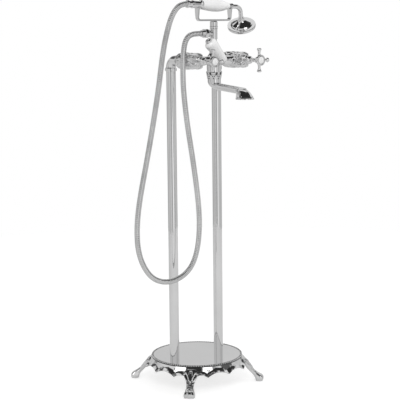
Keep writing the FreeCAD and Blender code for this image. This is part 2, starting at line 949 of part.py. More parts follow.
def hose_outlet():
    """The tee on the riser, with a threaded nipple to the left."""
    rings = [
        (tee_bottom, 0.0),
        (tee_bottom, tee_radius),
        (tee_top - 4.5, tee_radius),
        [(tee_top - 4.5, tee_radius), (tee_top - 3.0, tee_ring_radius), (tee_top - 1.5, tee_radius)],
        (tee_top, tee_radius),
        (tee_top, 0.0),
    ]
    block = turned(rings, body_axis(0.0))
    nipple = rod(outlet_nipple_radius, body_axis(outlet_height), outlet_nipple_end, LEFT)
    tee = joined(block, nipple)
    socket = rod(riser_radius, body_axis(tee_bottom), riser_depth / 2)
    bore = rod(outlet_nipple_bore_radius, body_axis(outlet_height), outlet_nipple_end, LEFT)
    rise = rod(outlet_nipple_bore_radius, body_axis(tee_bottom), outlet_height - tee_bottom)
    return tee.cut(socket).cut(bore).cut(rise)


def outlet_hose_nut():
    washer_end = outlet_nipple_end + washer_thickness
    outline = [
        (outlet_nut_start, outlet_nipple_radius),
        (outlet_nut_start, outlet_nut_radius - 2.6),
        (outlet_nut_start + 6.0, outlet_nut_radius - 2.0),
        (outlet_nut_start + 9.0, outlet_nut_radius),
        (outlet_nut_start + 15.0, outlet_nut_radius),
        (outlet_nut_start + 18.0, outlet_nut_radius - 1.6),
        (outlet_nut_end, outlet_nut_tip_radius),
        (outlet_nut_end, outlet_nipple_bore_radius),
        (washer_end, outlet_nipple_bore_radius),
        (washer_end, outlet_nipple_radius),
    ]
    return turned(outline, body_axis(outlet_height), LEFT)


def outlet_washer():
    start = body_axis(outlet_height) + LEFT * outlet_nipple_end
    return ring(outlet_nipple_radius, outlet_nipple_bore_radius, start, washer_thickness, LEFT)


def cradle_screw():
    head_top = cradle_bottom + cradle_thickness
    outline = [
        (head_top, 0.0),
        (head_top, cradle_screw_head_radius),
        (head_top - 2.4, cradle_screw_radius),
        (head_top - cradle_screw_length, cradle_screw_radius),
        (head_top - cradle_screw_length, 0.0),
    ]
    return turned(outline, body_axis(0.0))


def cradle_post():
    outline = [
        (tee_top, 0.0),
        (tee_top, post_radius + 0.6),
        (tee_top + 2.5, post_radius + 0.6),
        (tee_top + 3.5, post_radius),
        (cradle_bottom - 2.0, post_radius),
        (cradle_bottom, post_radius - 1.5),
        (cradle_bottom, 0.0),
    ]
    return turned(outline, body_axis(0.0)).cut(cradle_screw())


def cradle_block(half_length, bottom, corner):
    """The inside or outside of the U, as a rounded block that is open at the top."""
    height = cradle_fork_top - bottom
    corner_start = Vector(-half_length, -body_forward - cradle_fork_half_width, bottom)
    block = Part.makeBox(2 * half_length, 2 * cradle_fork_half_width, height, corner_start)
    lower = []
    for edge in block.Edges:
        centre = edge.CenterOfMass
        if abs(centre.z - bottom) < 1e-6 and abs(abs(centre.x) - half_length) < 1e-6:
            lower.append(edge)
    return block.makeFillet(corner, lower)


def handset_height_at(along):
    return handset_height - along * math.tan(droop)


def cradle():
    half = cradle_fork_place + cradle_fork_thickness / 2
    outside = cradle_block(half, cradle_bottom, cradle_corner_radius)
    inner_corner = cradle_corner_radius - cradle_fork_thickness
    inside = cradle_block(half - cradle_fork_thickness, cradle_bottom + cradle_thickness, inner_corner)
    side_outline = [
        (cradle_bottom, -cradle_foot_half_width),
        (cradle_bottom, cradle_foot_half_width),
        [
            (cradle_bottom, cradle_foot_half_width),
            (cradle_bottom + 8.0, cradle_foot_half_width + 0.2),
            (cradle_bottom + 17.0, cradle_foot_half_width + 1.6),
            (cradle_fork_top - 8.0, cradle_fork_half_width - 0.3),
            (cradle_fork_top, cradle_fork_half_width),
        ],
        [
            (cradle_fork_top, -cradle_fork_half_width),
            (cradle_fork_top - 8.0, -cradle_fork_half_width + 0.3),
            (cradle_bottom + 17.0, -cradle_foot_half_width - 1.6),
            (cradle_bottom + 8.0, -cradle_foot_half_width - 0.2),
            (cradle_bottom, -cradle_foot_half_width),
        ],
    ]
    side_block = closed_face(side_outline).extrude(Vector(0, 4 * half, 0))
    side_block.rotate(Vector(0, 0, 0), UP, 90)
    side_block.translate(Vector(2 * half, -body_forward, 0))
    frame = outside.cut(inside).common(side_block)
    notches = ((-cradle_fork_place, rear_ferrule_radius), (cradle_fork_place, front_ferrule_radius))
    for place, radius in notches:
        start = Vector(place - cradle_fork_thickness, -body_forward, handset_height_at(place))
        frame = frame.cut(rod(radius + soft_gap, start, 2 * cradle_fork_thickness, RIGHT))
    return frame.cut(cradle_screw())


def cradle_parts():
    save(riser(), "riser")
    save(hose_outlet(), "hose_outlet")
    save(outlet_hose_nut(), "outlet_hose_nut")
    save(outlet_washer(), "outlet_washer")
    save(cradle_post(), "cradle_post")
    save(cradle(), "cradle")
    save(cradle_screw(), "cradle_screw")


# Hand shower


def handset_frame():
    """Turns the local hand shower (axis +X, spray down) by its roll and droop, and lifts it to its place."""
    rolled = Rotation(RIGHT, handset_roll)
    drooped = Rotation(Vector(0, 1, 0), handset_droop)
    return Placement(Vector(0, -body_forward, handset_height), drooped.multiply(rolled))


def placed(shape):
    copy = shape.copy()
    copy.Placement = handset_frame().multiply(copy.Placement)
    return copy


def along_handset(outline):
    return turned(outline, Vector(0, 0, 0), RIGHT)


def handset_hose_nut():
    washer_start = -handset_thread_start - washer_thickness
    front = handset_nut_length - handset_end
    return along_handset(
        [
            (-handset_end, handset_tube_bore_radius),
            (-handset_end, handset_nut_tip_radius),
            (-handset_end + 2.0, handset_nut_radius),
            (-handset_end + 4.5, handset_nut_radius),
            (-handset_end + 6.5, handset_nut_tip_radius),
            (front, handset_nut_tip_radius + 0.8),
            (front, handset_thread_radius),
            (washer_start, handset_thread_radius),
            (washer_start, handset_tube_bore_radius),
        ]
    )


def handset_washer():
    start = Vector(-handset_thread_start - washer_thickness, 0, 0)
    return ring(handset_thread_radius, handset_tube_bore_radius, start, washer_thickness, RIGHT)


def handset_tube():
    """The threaded water tube that runs through the grip and clamps it between its ferrules."""
    end = grip_end + front_ferrule_length - 2.0
    head = rod(handset_thread_radius, Vector(-handset_thread_start, 0, 0), handset_thread_length, RIGHT)
    shank = rod(handset_tube_radius, Vector(-handset_thread_start, 0, 0), handset_thread_start + end, RIGHT)
    bore = rod(handset_tube_bore_radius, Vector(-handset_thread_start, 0, 0), handset_thread_start + end, RIGHT)
    return joined(head, shank).cut(bore)


def rear_ferrule():
    start = handset_nut_length - handset_end
    head_end = handset_thread_length - handset_thread_start
    return along_handset(
        [
            (start, handset_thread_radius),
            (start, rear_ferrule_radius - 0.6),
            (start + 2.0, rear_ferrule_radius + 0.9),
            (start + 5.0, rear_ferrule_radius + 0.9),
            (start + 6.5, rear_ferrule_radius),
            (-grip_start - 7.0, rear_ferrule_radius),
            [
                (-grip_start - 7.0, rear_ferrule_radius),
                (-grip_start - 4.5, rear_ferrule_radius + 0.8),
                (-grip_start - 2.5, rear_ferrule_flare_radius),
            ],
            (-grip_start, rear_ferrule_flare_radius),
            (-grip_start, handset_tube_radius),
            (head_end, handset_tube_radius),
            (head_end, handset_thread_radius),
        ]
    )


def handset_grip():
    return along_handset(
        [
            (-grip_start, handset_tube_radius),
            (-grip_start, rear_ferrule_flare_radius - 0.5),
            [
                (-grip_start, rear_ferrule_flare_radius - 0.5),
                (-grip_start + 14.0, grip_radius - 2.3),
                (-8.0, grip_radius - 0.5),
                (5.0, grip_radius),
                (18.0, grip_radius - 0.9),
                (34.0, grip_radius - 4.4),
                (grip_end, front_ferrule_radius + 0.4),
            ],
            (grip_end, handset_tube_radius),
        ]
    )


def front_ferrule():
    tube_end = grip_end + front_ferrule_length - 2.0
    end = grip_end + front_ferrule_length
    return along_handset(
        [
            (grip_end, handset_tube_radius),
            (grip_end, front_ferrule_radius),
            (end - 5.0, front_ferrule_radius),
            (end - 4.0, front_ferrule_radius + 0.9),
            (end - 2.0, front_ferrule_radius + 0.9),
            (end, neck_radius + 0.4),
            (end, neck_radius),
            (tube_end, neck_radius),
            (tube_end, handset_tube_radius),
        ]
    )


def neck_exit():
    """Where the neck's bend ends, and the direction of the spray, in the hand shower's own frame."""
    turn = math.radians(neck_bend_angle)
    end = Vector(neck_straight + neck_bend_radius * math.sin(turn), 0, -neck_bend_radius * (1 - math.cos(turn)))
    return end, Vector(math.cos(turn), 0, -math.sin(turn))


def handset_neck():
    start = Vector(grip_end + front_ferrule_length - 2.0, 0, 0)
    bend_end, spray = neck_exit()
    solids = []
    for radius in (neck_radius, handset_tube_bore_radius):
        level = rod(radius, start, neck_straight - start.x, RIGHT)
        disc = Part.Face(Part.Wire(Part.makeCircle(radius, Vector(neck_straight, 0, 0), RIGHT)))
        bend = disc.revolve(Vector(neck_straight, 0, -neck_bend_radius), Vector(0, 1, 0), neck_bend_angle)
        drop = rod(radius, bend_end, neck_drop, spray)
        solids.append(joined(level, bend, drop))
    return solids[0].cut(solids[1])


def rose_outline(trim):
    """The bell's outside, or its inside when trimmed by the wall."""
    rim_start = rose_height - rose_rim_height
    return [
        [
            (4.0 + trim, rose_collar_radius - 0.6 - trim),
            (7.5 + trim, rose_collar_radius + 3.2 - trim),
            (12.0 + trim, rose_dome_radius - 8.0 - trim),
            (16.5 + trim, rose_dome_radius - 2.0 - trim),
            (rim_start - 1.5 + trim, rose_dome_radius - trim),
        ],
        [
            (rim_start + trim, rose_radius - 4.0 - trim),
            (rim_start + 1.4 + trim, rose_radius - 1.0 - trim),
            (rim_start + 3.4 + trim, rose_radius - trim),
        ],
        (rose_height, rose_radius - trim),
    ]


def rose():
    bend_end, spray = neck_exit()
    start = bend_end + spray * neck_drop
    outer = [(0.0, 0.0), (0.0, rose_collar_radius), (3.0, rose_collar_radius)] + rose_outline(0.0)
    outer.append((rose_height, 0.0))
    inner = [(4.0 + rose_wall, 0.0)] + rose_outline(rose_wall) + [(rose_height, 0.0)]
    waterway = rod(handset_tube_bore_radius, start, rose_height / 2, spray)
    return turned(outer, start, spray).cut(turned(inner, start, spray)).cut(waterway)


def spray_plate():
    bend_end, spray = neck_exit()
    start = bend_end + spray * (neck_drop + rose_height - spray_plate_thickness)
    radius = rose_radius - rose_wall
    across = Vector(-spray.z, 0, spray.x)
    plate = rod(radius, start, spray_plate_thickness, spray)
    for ring_number in range(spray_rings + 1):
        count = max(1, 6 * ring_number)
        ring_radius = (radius - 5.0) * ring_number / spray_rings
        for i in range(count):
            angle = 2 * math.pi * i / count
            offset = across * (ring_radius * math.cos(angle)) + Vector(0, ring_radius * math.sin(angle), 0)
            plate = plate.cut(rod(spray_hole_radius, start + offset, spray_plate_thickness, spray))
    return plate


def handset_parts():
    save(placed(handset_hose_nut()), "handset_hose_nut")
    save(placed(handset_washer()), "handset_washer")
    save(placed(handset_tube()), "handset_tube")
    save(placed(rear_ferrule()), "rear_ferrule")
    save(placed(handset_grip()), "handset_grip")
    save(placed(front_ferrule()), "front_ferrule")
    save(placed(handset_neck()), "handset_neck")
    save(placed(rose()), "rose")
    save(placed(spray_plate()), "spray_plate")


# Hose


def hose_points():
    """The route's corners, from the outlet nut to the nut on the hand shower."""
    start = body_axis(outlet_height) + LEFT * outlet_nut_end
    corners = [Vector(x, -body_forward, outlet_height + rise) for x, rise in hose_route]
    reach = handset_end + hose_lift_gap
    end = body_axis(handset_height) + Vector(-reach * math.cos(droop), 0, reach * math.sin(droop))
    return [start] + corners + [end]


def hose_path():
    """Straight runs joined by tangent arcs, as (kind, length, frame function) pieces."""
    points = hose_points()
    pieces = []
    radii = []
    last = points[0]
    for before, corner, after in zip(points, points[1:], points[2:]):
        run_in = corner - before
        run_out = after - corner
        half_turn = run_in.getAngle(run_out) / 2
        cut = 0.45 * min(run_in.Length, run_out.Length)
        radius = cut / math.tan(half_turn)
        entry = corner - run_in.normalize() * cut
        leave = corner + run_out.normalize() * cut
        middle = corner + (run_out - run_in).normalize() * (radius / math.cos(half_turn) - radius)
        pieces.append(Part.LineSegment(last, entry).toShape())
        pieces.append(Part.Arc(entry, middle, leave).toShape())
        radii.append(round(radius, 1))
        last = leave
    pieces.append(Part.LineSegment(last, points[-1]).toShape())
    print("hose radii", radii)
    return Part.Wire(pieces)


def place_on(edges, distance):
    """The point and direction at a distance along the route."""
    for edge in edges:
        if distance <= edge.Length or edge is edges[-1]:
            parameter = edge.getParameterByLength(min(distance, edge.Length))
            return edge.valueAt(parameter), edge.tangentAt(parameter)
        distance -= edge.Length


def hose_circle(edges, distance, radius):
    point, direction = place_on(edges, distance)
    return circle_across(point, direction, FRONT, radius)


def hose():
    wire = hose_path()
    edges = wire.Edges
    length = wire.Length
    pitch = (length - 2 * hose_plain_end) / hose_rib_count
    rise = (1 - hose_rib_share) * pitch / 2
    stations = [(0.0, hose_groove_radius)]
    for i in range(hose_rib_count):
        start = hose_plain_end + pitch * i
        stations.append((start + 0.1 * pitch, hose_groove_radius))
        stations.append((start + 0.1 * pitch + rise, hose_radius))
        stations.append((start + 0.9 * pitch - rise, hose_radius))
        stations.append((start + 0.9 * pitch, hose_groove_radius))
    stations.append((length, hose_groove_radius))
    outside = Part.makeLoft([hose_circle(edges, at, radius) for at, radius in stations], True, True)
    bore_circle = hose_circle(edges, 0.0, hose_bore_radius)
    bore = wire.makePipeShell([bore_circle], True, False)
    tube = outside.cut(bore)
    groove_area = math.pi * (hose_groove_radius**2 - hose_bore_radius**2)
    full_area = math.pi * (hose_radius**2 - hose_bore_radius**2)
    print("hose length", round(length, 1), "volume", round(tube.Volume))
    print("between", round(groove_area * length), "and", round(full_area * length))
    return tube


def main():
    base_parts()
    standpipe_parts()
    valve_parts()
    body_parts()
    diverter_parts()
    cradle_parts()
    handset_parts()
    save(hose(), "hose")


main()
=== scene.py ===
"""Looks for the freestanding bath tap: chrome, porcelain, a wound metal hose and a claw-foot base.

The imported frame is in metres, with +Z up and the front at -Y. Its solids keep their places, and some are
replaced by finer pieces that are made here. Sizes here are in millimetres where nothing else is said.
"""

import json
import math

import bpy
import numpy as np
from mathutils import Matrix, Vector


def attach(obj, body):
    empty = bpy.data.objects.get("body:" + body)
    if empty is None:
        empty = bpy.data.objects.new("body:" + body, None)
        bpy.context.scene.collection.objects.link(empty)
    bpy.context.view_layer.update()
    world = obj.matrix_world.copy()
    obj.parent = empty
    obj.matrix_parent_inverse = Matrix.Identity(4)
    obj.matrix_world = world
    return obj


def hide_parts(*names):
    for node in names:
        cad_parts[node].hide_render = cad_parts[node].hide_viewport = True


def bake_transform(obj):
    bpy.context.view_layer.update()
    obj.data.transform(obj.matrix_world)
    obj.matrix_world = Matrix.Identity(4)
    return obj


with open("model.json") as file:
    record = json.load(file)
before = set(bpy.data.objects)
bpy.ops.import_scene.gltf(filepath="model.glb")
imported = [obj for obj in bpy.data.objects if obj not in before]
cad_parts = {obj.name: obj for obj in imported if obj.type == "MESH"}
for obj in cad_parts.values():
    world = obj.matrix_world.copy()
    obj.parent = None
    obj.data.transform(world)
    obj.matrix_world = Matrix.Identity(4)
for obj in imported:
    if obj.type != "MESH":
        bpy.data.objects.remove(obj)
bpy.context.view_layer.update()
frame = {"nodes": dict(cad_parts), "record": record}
NODES = frame["nodes"]

MM = 0.001
UP = Vector((0, 0, 1))
FRONT = Vector((0, -1, 0))
RIGHT = Vector((1, 0, 0))

# Sizes that the pieces share with the solids
BODY_FORWARD = 84.0
VALVE_HEIGHT = 858.0
LEG_OFFSET = 75.0
HOSE_RADIUS = 7.0


# Camera

# Angles are in degrees
CAMERA_PLACE = (-1917.3, -2450.1, 949.8)
CAMERA_YAW = -38.287
CAMERA_PITCH = 7.481
CAMERA_ROLL = -0.572
CAMERA_LENS = 106.76
CAMERA_SHIFT = -0.05


def make_camera():
    data = bpy.data.cameras.new("camera")
    data.sensor_width = 36.0
    data.lens = CAMERA_LENS
    data.shift_y = CAMERA_SHIFT
    data.clip_start = 0.05
    data.clip_end = 50.0
    camera = bpy.data.objects.new("camera", data)
    bpy.context.scene.collection.objects.link(camera)
    yaw, pitch, roll = (math.radians(v) for v in (CAMERA_YAW, CAMERA_PITCH, CAMERA_ROLL))
    ahead = Vector((-math.sin(yaw) * math.cos(pitch), math.cos(yaw) * math.cos(pitch), -math.sin(pitch)))
    level = Vector((math.cos(yaw), math.sin(yaw), 0))
    above = level.cross(ahead)
    side = level * math.cos(roll) + above * math.sin(roll)
    top = above * math.cos(roll) - level * math.sin(roll)
    turn = Matrix((side, top, -ahead)).transposed().to_4x4()
    camera.matrix_world = Matrix.Translation(Vector(CAMERA_PLACE) * MM) @ turn
    bpy.context.scene.camera = camera


make_camera()


# Materials


def shader(name, **sockets):
    """A Principled material, its node tree and its shader node."""
    material = bpy.data.materials.new(name)
    material.use_nodes = True
    tree = material.node_tree
    principled = tree.nodes["Principled BSDF"]
    for key, value in sockets.items():
        principled.inputs[key.replace("_", " ")].default_value = value
    return material, tree, principled


def add(tree, kind, **values):
    node = tree.nodes.new(kind)
    for key, value in values.items():
        if hasattr(node, key):
            setattr(node, key, value)
        else:
            node.inputs[key.replace("_", " ")].default_value = value
    return node


def noise(tree, scale, detail=4.0):
    place = add(tree, "ShaderNodeTexCoord")
    texture = add(tree, "ShaderNodeTexNoise", Scale=scale, Detail=detail)
    tree.links.new(place.outputs["Object"], texture.inputs["Vector"])
    return texture.outputs["Fac"]


def ramp(tree, source, low, high, start=0.3, end=0.7):
    """A value or grey that runs from low to high as the source goes from start to end."""
    node = add(tree, "ShaderNodeMapRange")
    for key, value in (("From Min", start), ("From Max", end), ("To Min", low), ("To Max", high)):
        node.inputs[key].default_value = value
    tree.links.new(source, node.inputs["Value"])
    return node.outputs["Result"]


def tinted(tree, source, dark, light):
    node = add(tree, "ShaderNodeMix", data_type="RGBA")
    node.inputs[6].default_value = (*dark, 1)
    node.inputs[7].default_value = (*light, 1)
    tree.links.new(source, node.inputs[0])
    return node.outputs[2]


def bump(tree, principled, source, strength, distance):
    node = add(tree, "ShaderNodeBump", Strength=strength, Distance=distance)
    tree.links.new(source, node.inputs["Height"])
    tree.links.new(node.outputs["Normal"], principled.inputs["Normal"])


def chrome(name, dark, light, smooth, rough, scale=9.0):
    """Plated metal: slow changes of tone, and faint wiping marks in its gloss."""
    material, tree, principled = shader(name, Metallic=1.0)
    tone = ramp(tree, noise(tree, scale, 2.0), 0.0, 1.0)
    tree.links.new(tinted(tree, tone, dark, light), principled.inputs["Base Color"])
    marks = ramp(tree, noise(tree, 14 * scale, 6.0), smooth, rough)
    tree.links.new(marks, principled.inputs["Roughness"])
    bump(tree, principled, noise(tree, 4 * scale, 3.0), 0.012, 0.002)
    return material


def porcelain():
    """Glazed ware: a faint warm and cool change under a clear, slightly uneven glaze."""
    material, tree, principled = shader("porcelain", IOR=1.52, Specular_IOR_Level=0.5)
    principled.inputs["Coat Weight"].default_value = 0.6
    principled.inputs["Coat Roughness"].default_value = 0.04
    tone = ramp(tree, noise(tree, 26.0, 3.0), 0.0, 1.0)
    colour = tinted(tree, tone, (0.89, 0.89, 0.89), (0.94, 0.94, 0.94))
    tree.links.new(colour, principled.inputs["Base Color"])
    tree.links.new(ramp(tree, noise(tree, 180.0), 0.07, 0.16), principled.inputs["Roughness"])
    bump(tree, principled, noise(tree, 60.0, 2.0), 0.05, 0.001)
    return material


def plain(name, dark, light, smooth, rough, metallic=0.0, scale=60.0):
    """Machined brass, steel, rubber or plastic, with fine grain."""
    material, tree, principled = shader(name, Metallic=metallic)
    tone = ramp(tree, noise(tree, scale), 0.0, 1.0)
    tree.links.new(tinted(tree, tone, dark, light), principled.inputs["Base Color"])
    tree.links.new(ramp(tree, noise(tree, 6 * scale), smooth, rough), principled.inputs["Roughness"])
    bump(tree, principled, noise(tree, 20 * scale), 0.15, 0.0002)
    return material


CHROME = chrome("chrome", (0.74, 0.74, 0.742), (0.81, 0.81, 0.812), 0.03, 0.07)
CAST_CHROME = chrome("cast_chrome", (0.7, 0.7, 0.702), (0.82, 0.82, 0.822), 0.05, 0.11, 30.0)
PLATE_CHROME = chrome("plate_chrome", (0.7, 0.7, 0.702), (0.75, 0.75, 0.752), 0.05, 0.09, 5.0)
HOSE_METAL = chrome("hose_metal", (0.6, 0.6, 0.602), (0.74, 0.74, 0.742), 0.13, 0.22, 20.0)
PORCELAIN = porcelain()
BRASS = plain("bare_brass", (0.55, 0.4, 0.18), (0.7, 0.54, 0.28), 0.25, 0.4, 1.0)
STEEL = plain("steel", (0.42, 0.42, 0.43), (0.6, 0.6, 0.61), 0.22, 0.36, 1.0)
RUBBER = plain("seal_rubber", (0.018, 0.018, 0.019), (0.045, 0.045, 0.046), 0.55, 0.75)
# Painted shade: near-black metal laid in grooves and hollows, standing in for the shade and dark reflections
# there
PAINTED_SHADE = plain("recess_painted_shade", (0.05, 0.05, 0.052), (0.12, 0.12, 0.122), 0.3, 0.5, 1.0)
DARK_PLASTIC = plain("dark_plastic", (0.03, 0.03, 0.032), (0.07, 0.07, 0.072), 0.4, 0.55)

SLOT_MATERIALS = {
    "chrome": CHROME,
    "porcelain": PORCELAIN,
    "seal_rubber": RUBBER,
    "bare_brass": BRASS,
    "steel": STEEL,
    "dark_plastic": DARK_PLASTIC,
    "hose_metal": HOSE_METAL,
}


# Mesh helpers


def finish_piece(name, vertices, faces, material, body, sharp=38.0, replaced=()):
    """Makes the mesh object, smooths it between its sharp edges, and gives it to its body, if it has one."""
    mesh = bpy.data.meshes.new(name)
    mesh.from_pydata([tuple(v) for v in vertices], [], faces)
    mesh.validate()
    mesh.shade_smooth()
    mesh.set_sharp_from_angle(angle=math.radians(sharp))
    mesh.materials.append(material)
    piece = bpy.data.objects.new(name, mesh)
    bpy.context.scene.collection.objects.link(piece)
    if body:
        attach(piece, body)
    if replaced:
        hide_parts(*replaced)
    return piece


def grid_faces(rows, columns, closed_rows=False, start=0):
    """Quads of a grid whose columns close on themselves, and whose rows may too."""
    faces = []
    last = rows if closed_rows else rows - 1
    for i in range(last):
        for j in range(columns):
            k = (j + 1) % columns
            below = (i + 1) % rows
            faces.append((start + i * columns + j, start + i * columns + k, start + below * columns + k,
                          start + below * columns + j))
    return faces


def capped_faces(rows, columns):
    """Quads of an open grid, with a face across its first row and one across its last."""
    faces = grid_faces(rows, columns)
    faces.append(tuple(range(columns - 1, -1, -1)))
    faces.append(tuple(range((rows - 1) * columns, rows * columns)))
    return faces


def smooth_line(points, steps):
    """A line through the points (any dimension), rounded by a Catmull-Rom spline."""
    points = np.array(points, float)
    ends = np.vstack([2 * points[0] - points[1], points, 2 * points[-1] - points[-2]])
    line = []
    for a, b, c, d in zip(ends, ends[1:], ends[2:], ends[3:]):
        for t in np.arange(steps) / steps:
            square = (2 * a - 5 * b + 4 * c - d) * t**2
            cube = (3 * b - a - 3 * c + d) * t**3
            line.append(0.5 * (2 * b + (c - a) * t + square + cube))
    line.append(points[-1])
    return np.array(line)


def axis_frame(direction):
    """The direction as a unit vector, and two more that are square to it and to each other."""
    direction = Vector(direction).normalized()
    side = UP if abs(direction.z) < 0.9 else RIGHT
    first = side.cross(direction).normalized()
    return direction, first, direction.cross(first)


def lathe(name, outline, origin, direction, material, body, segments=72, change=None, closed=False,
          sharp=38.0, replaced=()):
    """A turned piece. The outline holds (along, radius) in millimetres; change adds relief to a radius."""
    direction, first, second = axis_frame(direction)
    origin = Vector(origin)
    vertices = []
    for along, radius in outline:
        for j in range(segments):
            angle = 2 * math.pi * j / segments
            size = radius + (change(along, angle, radius) if change else 0.0)
            across = first * math.cos(angle) + second * math.sin(angle)
            vertices.append((origin + direction * along + across * size) * MM)
    faces = grid_faces(len(outline), segments, closed)
    return finish_piece(name, vertices, faces, material, body, sharp, replaced)


# Hose

# Control points from the outlet to the hand shower, across and up, in metres
HOSE_ROUTE = (
    (-0.0410, 0.9265),
    (-0.0610, 0.9265),
    (-0.0790, 0.9225),
    (-0.0915, 0.9100),
    (-0.0975, 0.8880),
    (-0.1000, 0.8580),
    (-0.1010, 0.8200),
    (-0.0990, 0.7780),
    (-0.0890, 0.7000),
    (-0.0710, 0.6030),
    (-0.0565, 0.5080),
    (-0.0520, 0.4450),
    (-0.0570, 0.3850),
    (-0.0740, 0.3380),
    (-0.1050, 0.3110),
    (-0.1520, 0.3000),
    (-0.1990, 0.3130),
    (-0.2300, 0.3480),
    (-0.2480, 0.3950),
    (-0.2500, 0.4550),
    (-0.2400, 0.5220),
    (-0.2100, 0.6400),
    (-0.1790, 0.7800),
    (-0.1620, 0.8850),
    (-0.1480, 0.9340),
    (-0.1360, 0.9660),
    (-0.1210, 0.9880),
    (-0.1040, 0.9990),
    (-0.0876, 1.0007),
)
# In metres, as measured along the curve
HOSE_PITCH = 4.6
HOSE_SIDES = 20
HOSE_STEPS = 6
HOSE_GROOVE = 1.4
HOSE_GROOVE_POWER = 4


def spline_points():
    """Points along the smooth curve whose control points are the route."""
    curve = bpy.data.curves.new("hose_route", "CURVE")
    curve.dimensions = "3D"
    curve.resolution_u = 24
    spline = curve.splines.new("NURBS")
    spline.points.add(len(HOSE_ROUTE) - 1)
    for point, (x, z) in zip(spline.points, HOSE_ROUTE):
        point.co = (x, -BODY_FORWARD * MM, z, 1)
    spline.order_u = 3
    spline.use_endpoint_u = True
    holder = bpy.data.objects.new("hose_route", curve)
    mesh = bpy.data.meshes.new_from_object(holder)
    points = np.array([v.co[:] for v in mesh.vertices])
    bpy.data.objects.remove(holder)
    bpy.data.meshes.remove(mesh)
    return points


def even_points(points, step):
    """The same line, read at even distances."""
    runs = np.linalg.norm(np.diff(points, axis=0), axis=1)
    points = points[np.concatenate(([True], runs > 1e-9))]
    gone = np.concatenate(([0.0], np.cumsum(np.linalg.norm(np.diff(points, axis=0), axis=1))))
    places = np.linspace(0.0, gone[-1], max(2, round(gone[-1] / step)))
    return np.stack([np.interp(places, gone, points[:, k]) for k in range(3)], 1), places


def make_hose():
    """Strip wound in a rising turn: each turn is a rounded band, with a narrow groove before the next."""
    line, places = even_points(spline_points(), HOSE_PITCH * MM / HOSE_STEPS)
    along = np.gradient(line, axis=0)
    along /= np.linalg.norm(along, axis=1)[:, None]
    side = np.array(FRONT)
    vertices = []
    for point, place, direction in zip(line, places, along):
        third = np.cross(direction, side)
        for j in range(HOSE_SIDES):
            angle = 2 * math.pi * j / HOSE_SIDES
            turn = (place / (HOSE_PITCH * MM) + j / HOSE_SIDES) % 1.0
            radius = (HOSE_RADIUS - HOSE_GROOVE * abs(2 * turn - 1) ** HOSE_GROOVE_POWER) * MM
            vertices.append(point + (side * math.cos(angle) + third * math.sin(angle)) * radius)
    faces = capped_faces(len(line), HOSE_SIDES)
    piece = finish_piece("wound_hose", vertices, faces, HOSE_METAL, None, sharp=75.0,
                         replaced=("hose",))
    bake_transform(piece)


make_hose()


# Carried-over solids

for part in frame["record"]["subparts"]:
    solid = NODES[part["node"]]
    solid.data.materials.clear()
    solid.data.materials.append(SLOT_MATERIALS[part["material_slot"]])
NODES["base_plate"].data.materials[0] = PLATE_CHROME


# Base


RIM_CHANNEL = ((66.0, 118.0), (66.0, 121.4), (66.5, 121.7), (67.2, 121.7), (67.2, 121.3), (66.8, 120.6),
               (66.8, 118.4), (69.6, 118.2), (70.6, 117.6), (70.6, 117.2), (70.0, 117.0), (69.0, 117.0))
BALL_COUNT = 120
BALL_RADIUS = 2.15
BALL_RING_RADIUS = 119.9
BALL_HEIGHT = 69.2
BALL_ROWS = 8
BALL_COLUMNS = 12


def add_ball(vertices, faces, centre):
    """Adds one ball of the rim, with its poles up and down, to the vertices and faces."""
    start = len(vertices)
    vertices.append((centre + UP * BALL_RADIUS) * MM)
    for row in range(1, BALL_ROWS):
        polar = math.pi * row / BALL_ROWS
        for j in range(BALL_COLUMNS):
            angle = 2 * math.pi * j / BALL_COLUMNS
            x = math.sin(polar) * math.cos(angle)
            y = math.sin(polar) * math.sin(angle)
            vertices.append((centre + Vector((x, y, math.cos(polar))) * BALL_RADIUS) * MM)
    vertices.append((centre - UP * BALL_RADIUS) * MM)
    last = len(vertices) - 1
    faces += grid_faces(BALL_ROWS - 1, BALL_COLUMNS, start=start + 1)
    for j in range(BALL_COLUMNS):
        k = (j + 1) % BALL_COLUMNS
        faces.append((start, start + 1 + k, start + 1 + j))
        faces.append((last, last - BALL_COLUMNS + j, last - BALL_COLUMNS + k))


def make_rim():
    """A channel round the plate, in painted shade, and the row of balls that sits in it."""
    # The channel is painted shade: dark, so that the gaps between the balls and the plate's edge read as
    # shaded
    lathe("rim_channel", RIM_CHANNEL, (0, 0, 0), UP, PAINTED_SHADE, "base", segments=240, closed=True,
          replaced=("beaded_rim",))
    vertices, faces = [], []
    for i in range(BALL_COUNT):
        turn = 2 * math.pi * i / BALL_COUNT
        x = BALL_RING_RADIUS * math.cos(turn)
        y = BALL_RING_RADIUS * math.sin(turn)
        add_ball(vertices, faces, Vector((x, y, BALL_HEIGHT)))
    finish_piece("rim_beads", vertices, faces, CHROME, "base", sharp=80.0)


# Scallops of the skirt's edge: degrees from the middle of a side, radius, height of the crown
SKIRT_ARCHES = ((12.5, 62.0, 51.0), (33.5, 30.0, 47.5))
SKIRT_TOP = 66.0
SKIRT_TOP_RADIUS = 121.0
SKIRT_EDGE_RADIUS = 140.5
SKIRT_EDGE = 41.0
SKIRT_SLOPE = 0.52
SKIRT_LIP = 6.2
SKIRT_LIP_HEIGHT = 9.0
SKIRT_ROLL = 1.9
SKIRT_WALL = 2.6
SKIRT_WALL_GROWTH = 1.2
# Over each foot the edge drops to a point, this deep and this many degrees wide to each side
SKIRT_POINT_DROP = 4.0
SKIRT_POINT_SPREAD = 9.0
# Cast curls of each quarter of the skirt: place in degrees, height, size, and the way that they turn
SKIRT_CURLS = ((25.0, 56.5, 6.0, 1), (65.0, 56.5, 6.0, -1), (6.0, 57.5, 5.5, 1), (84.0, 57.5, 5.5, -1),
               (14.0, 58.5, 5.0, -1), (76.0, 58.5, 5.0, 1))
SKIRT_CURL_REACH = 8.0
SKIRT_CURL_RELIEF = 0.55
CURL_TURN = 5.2


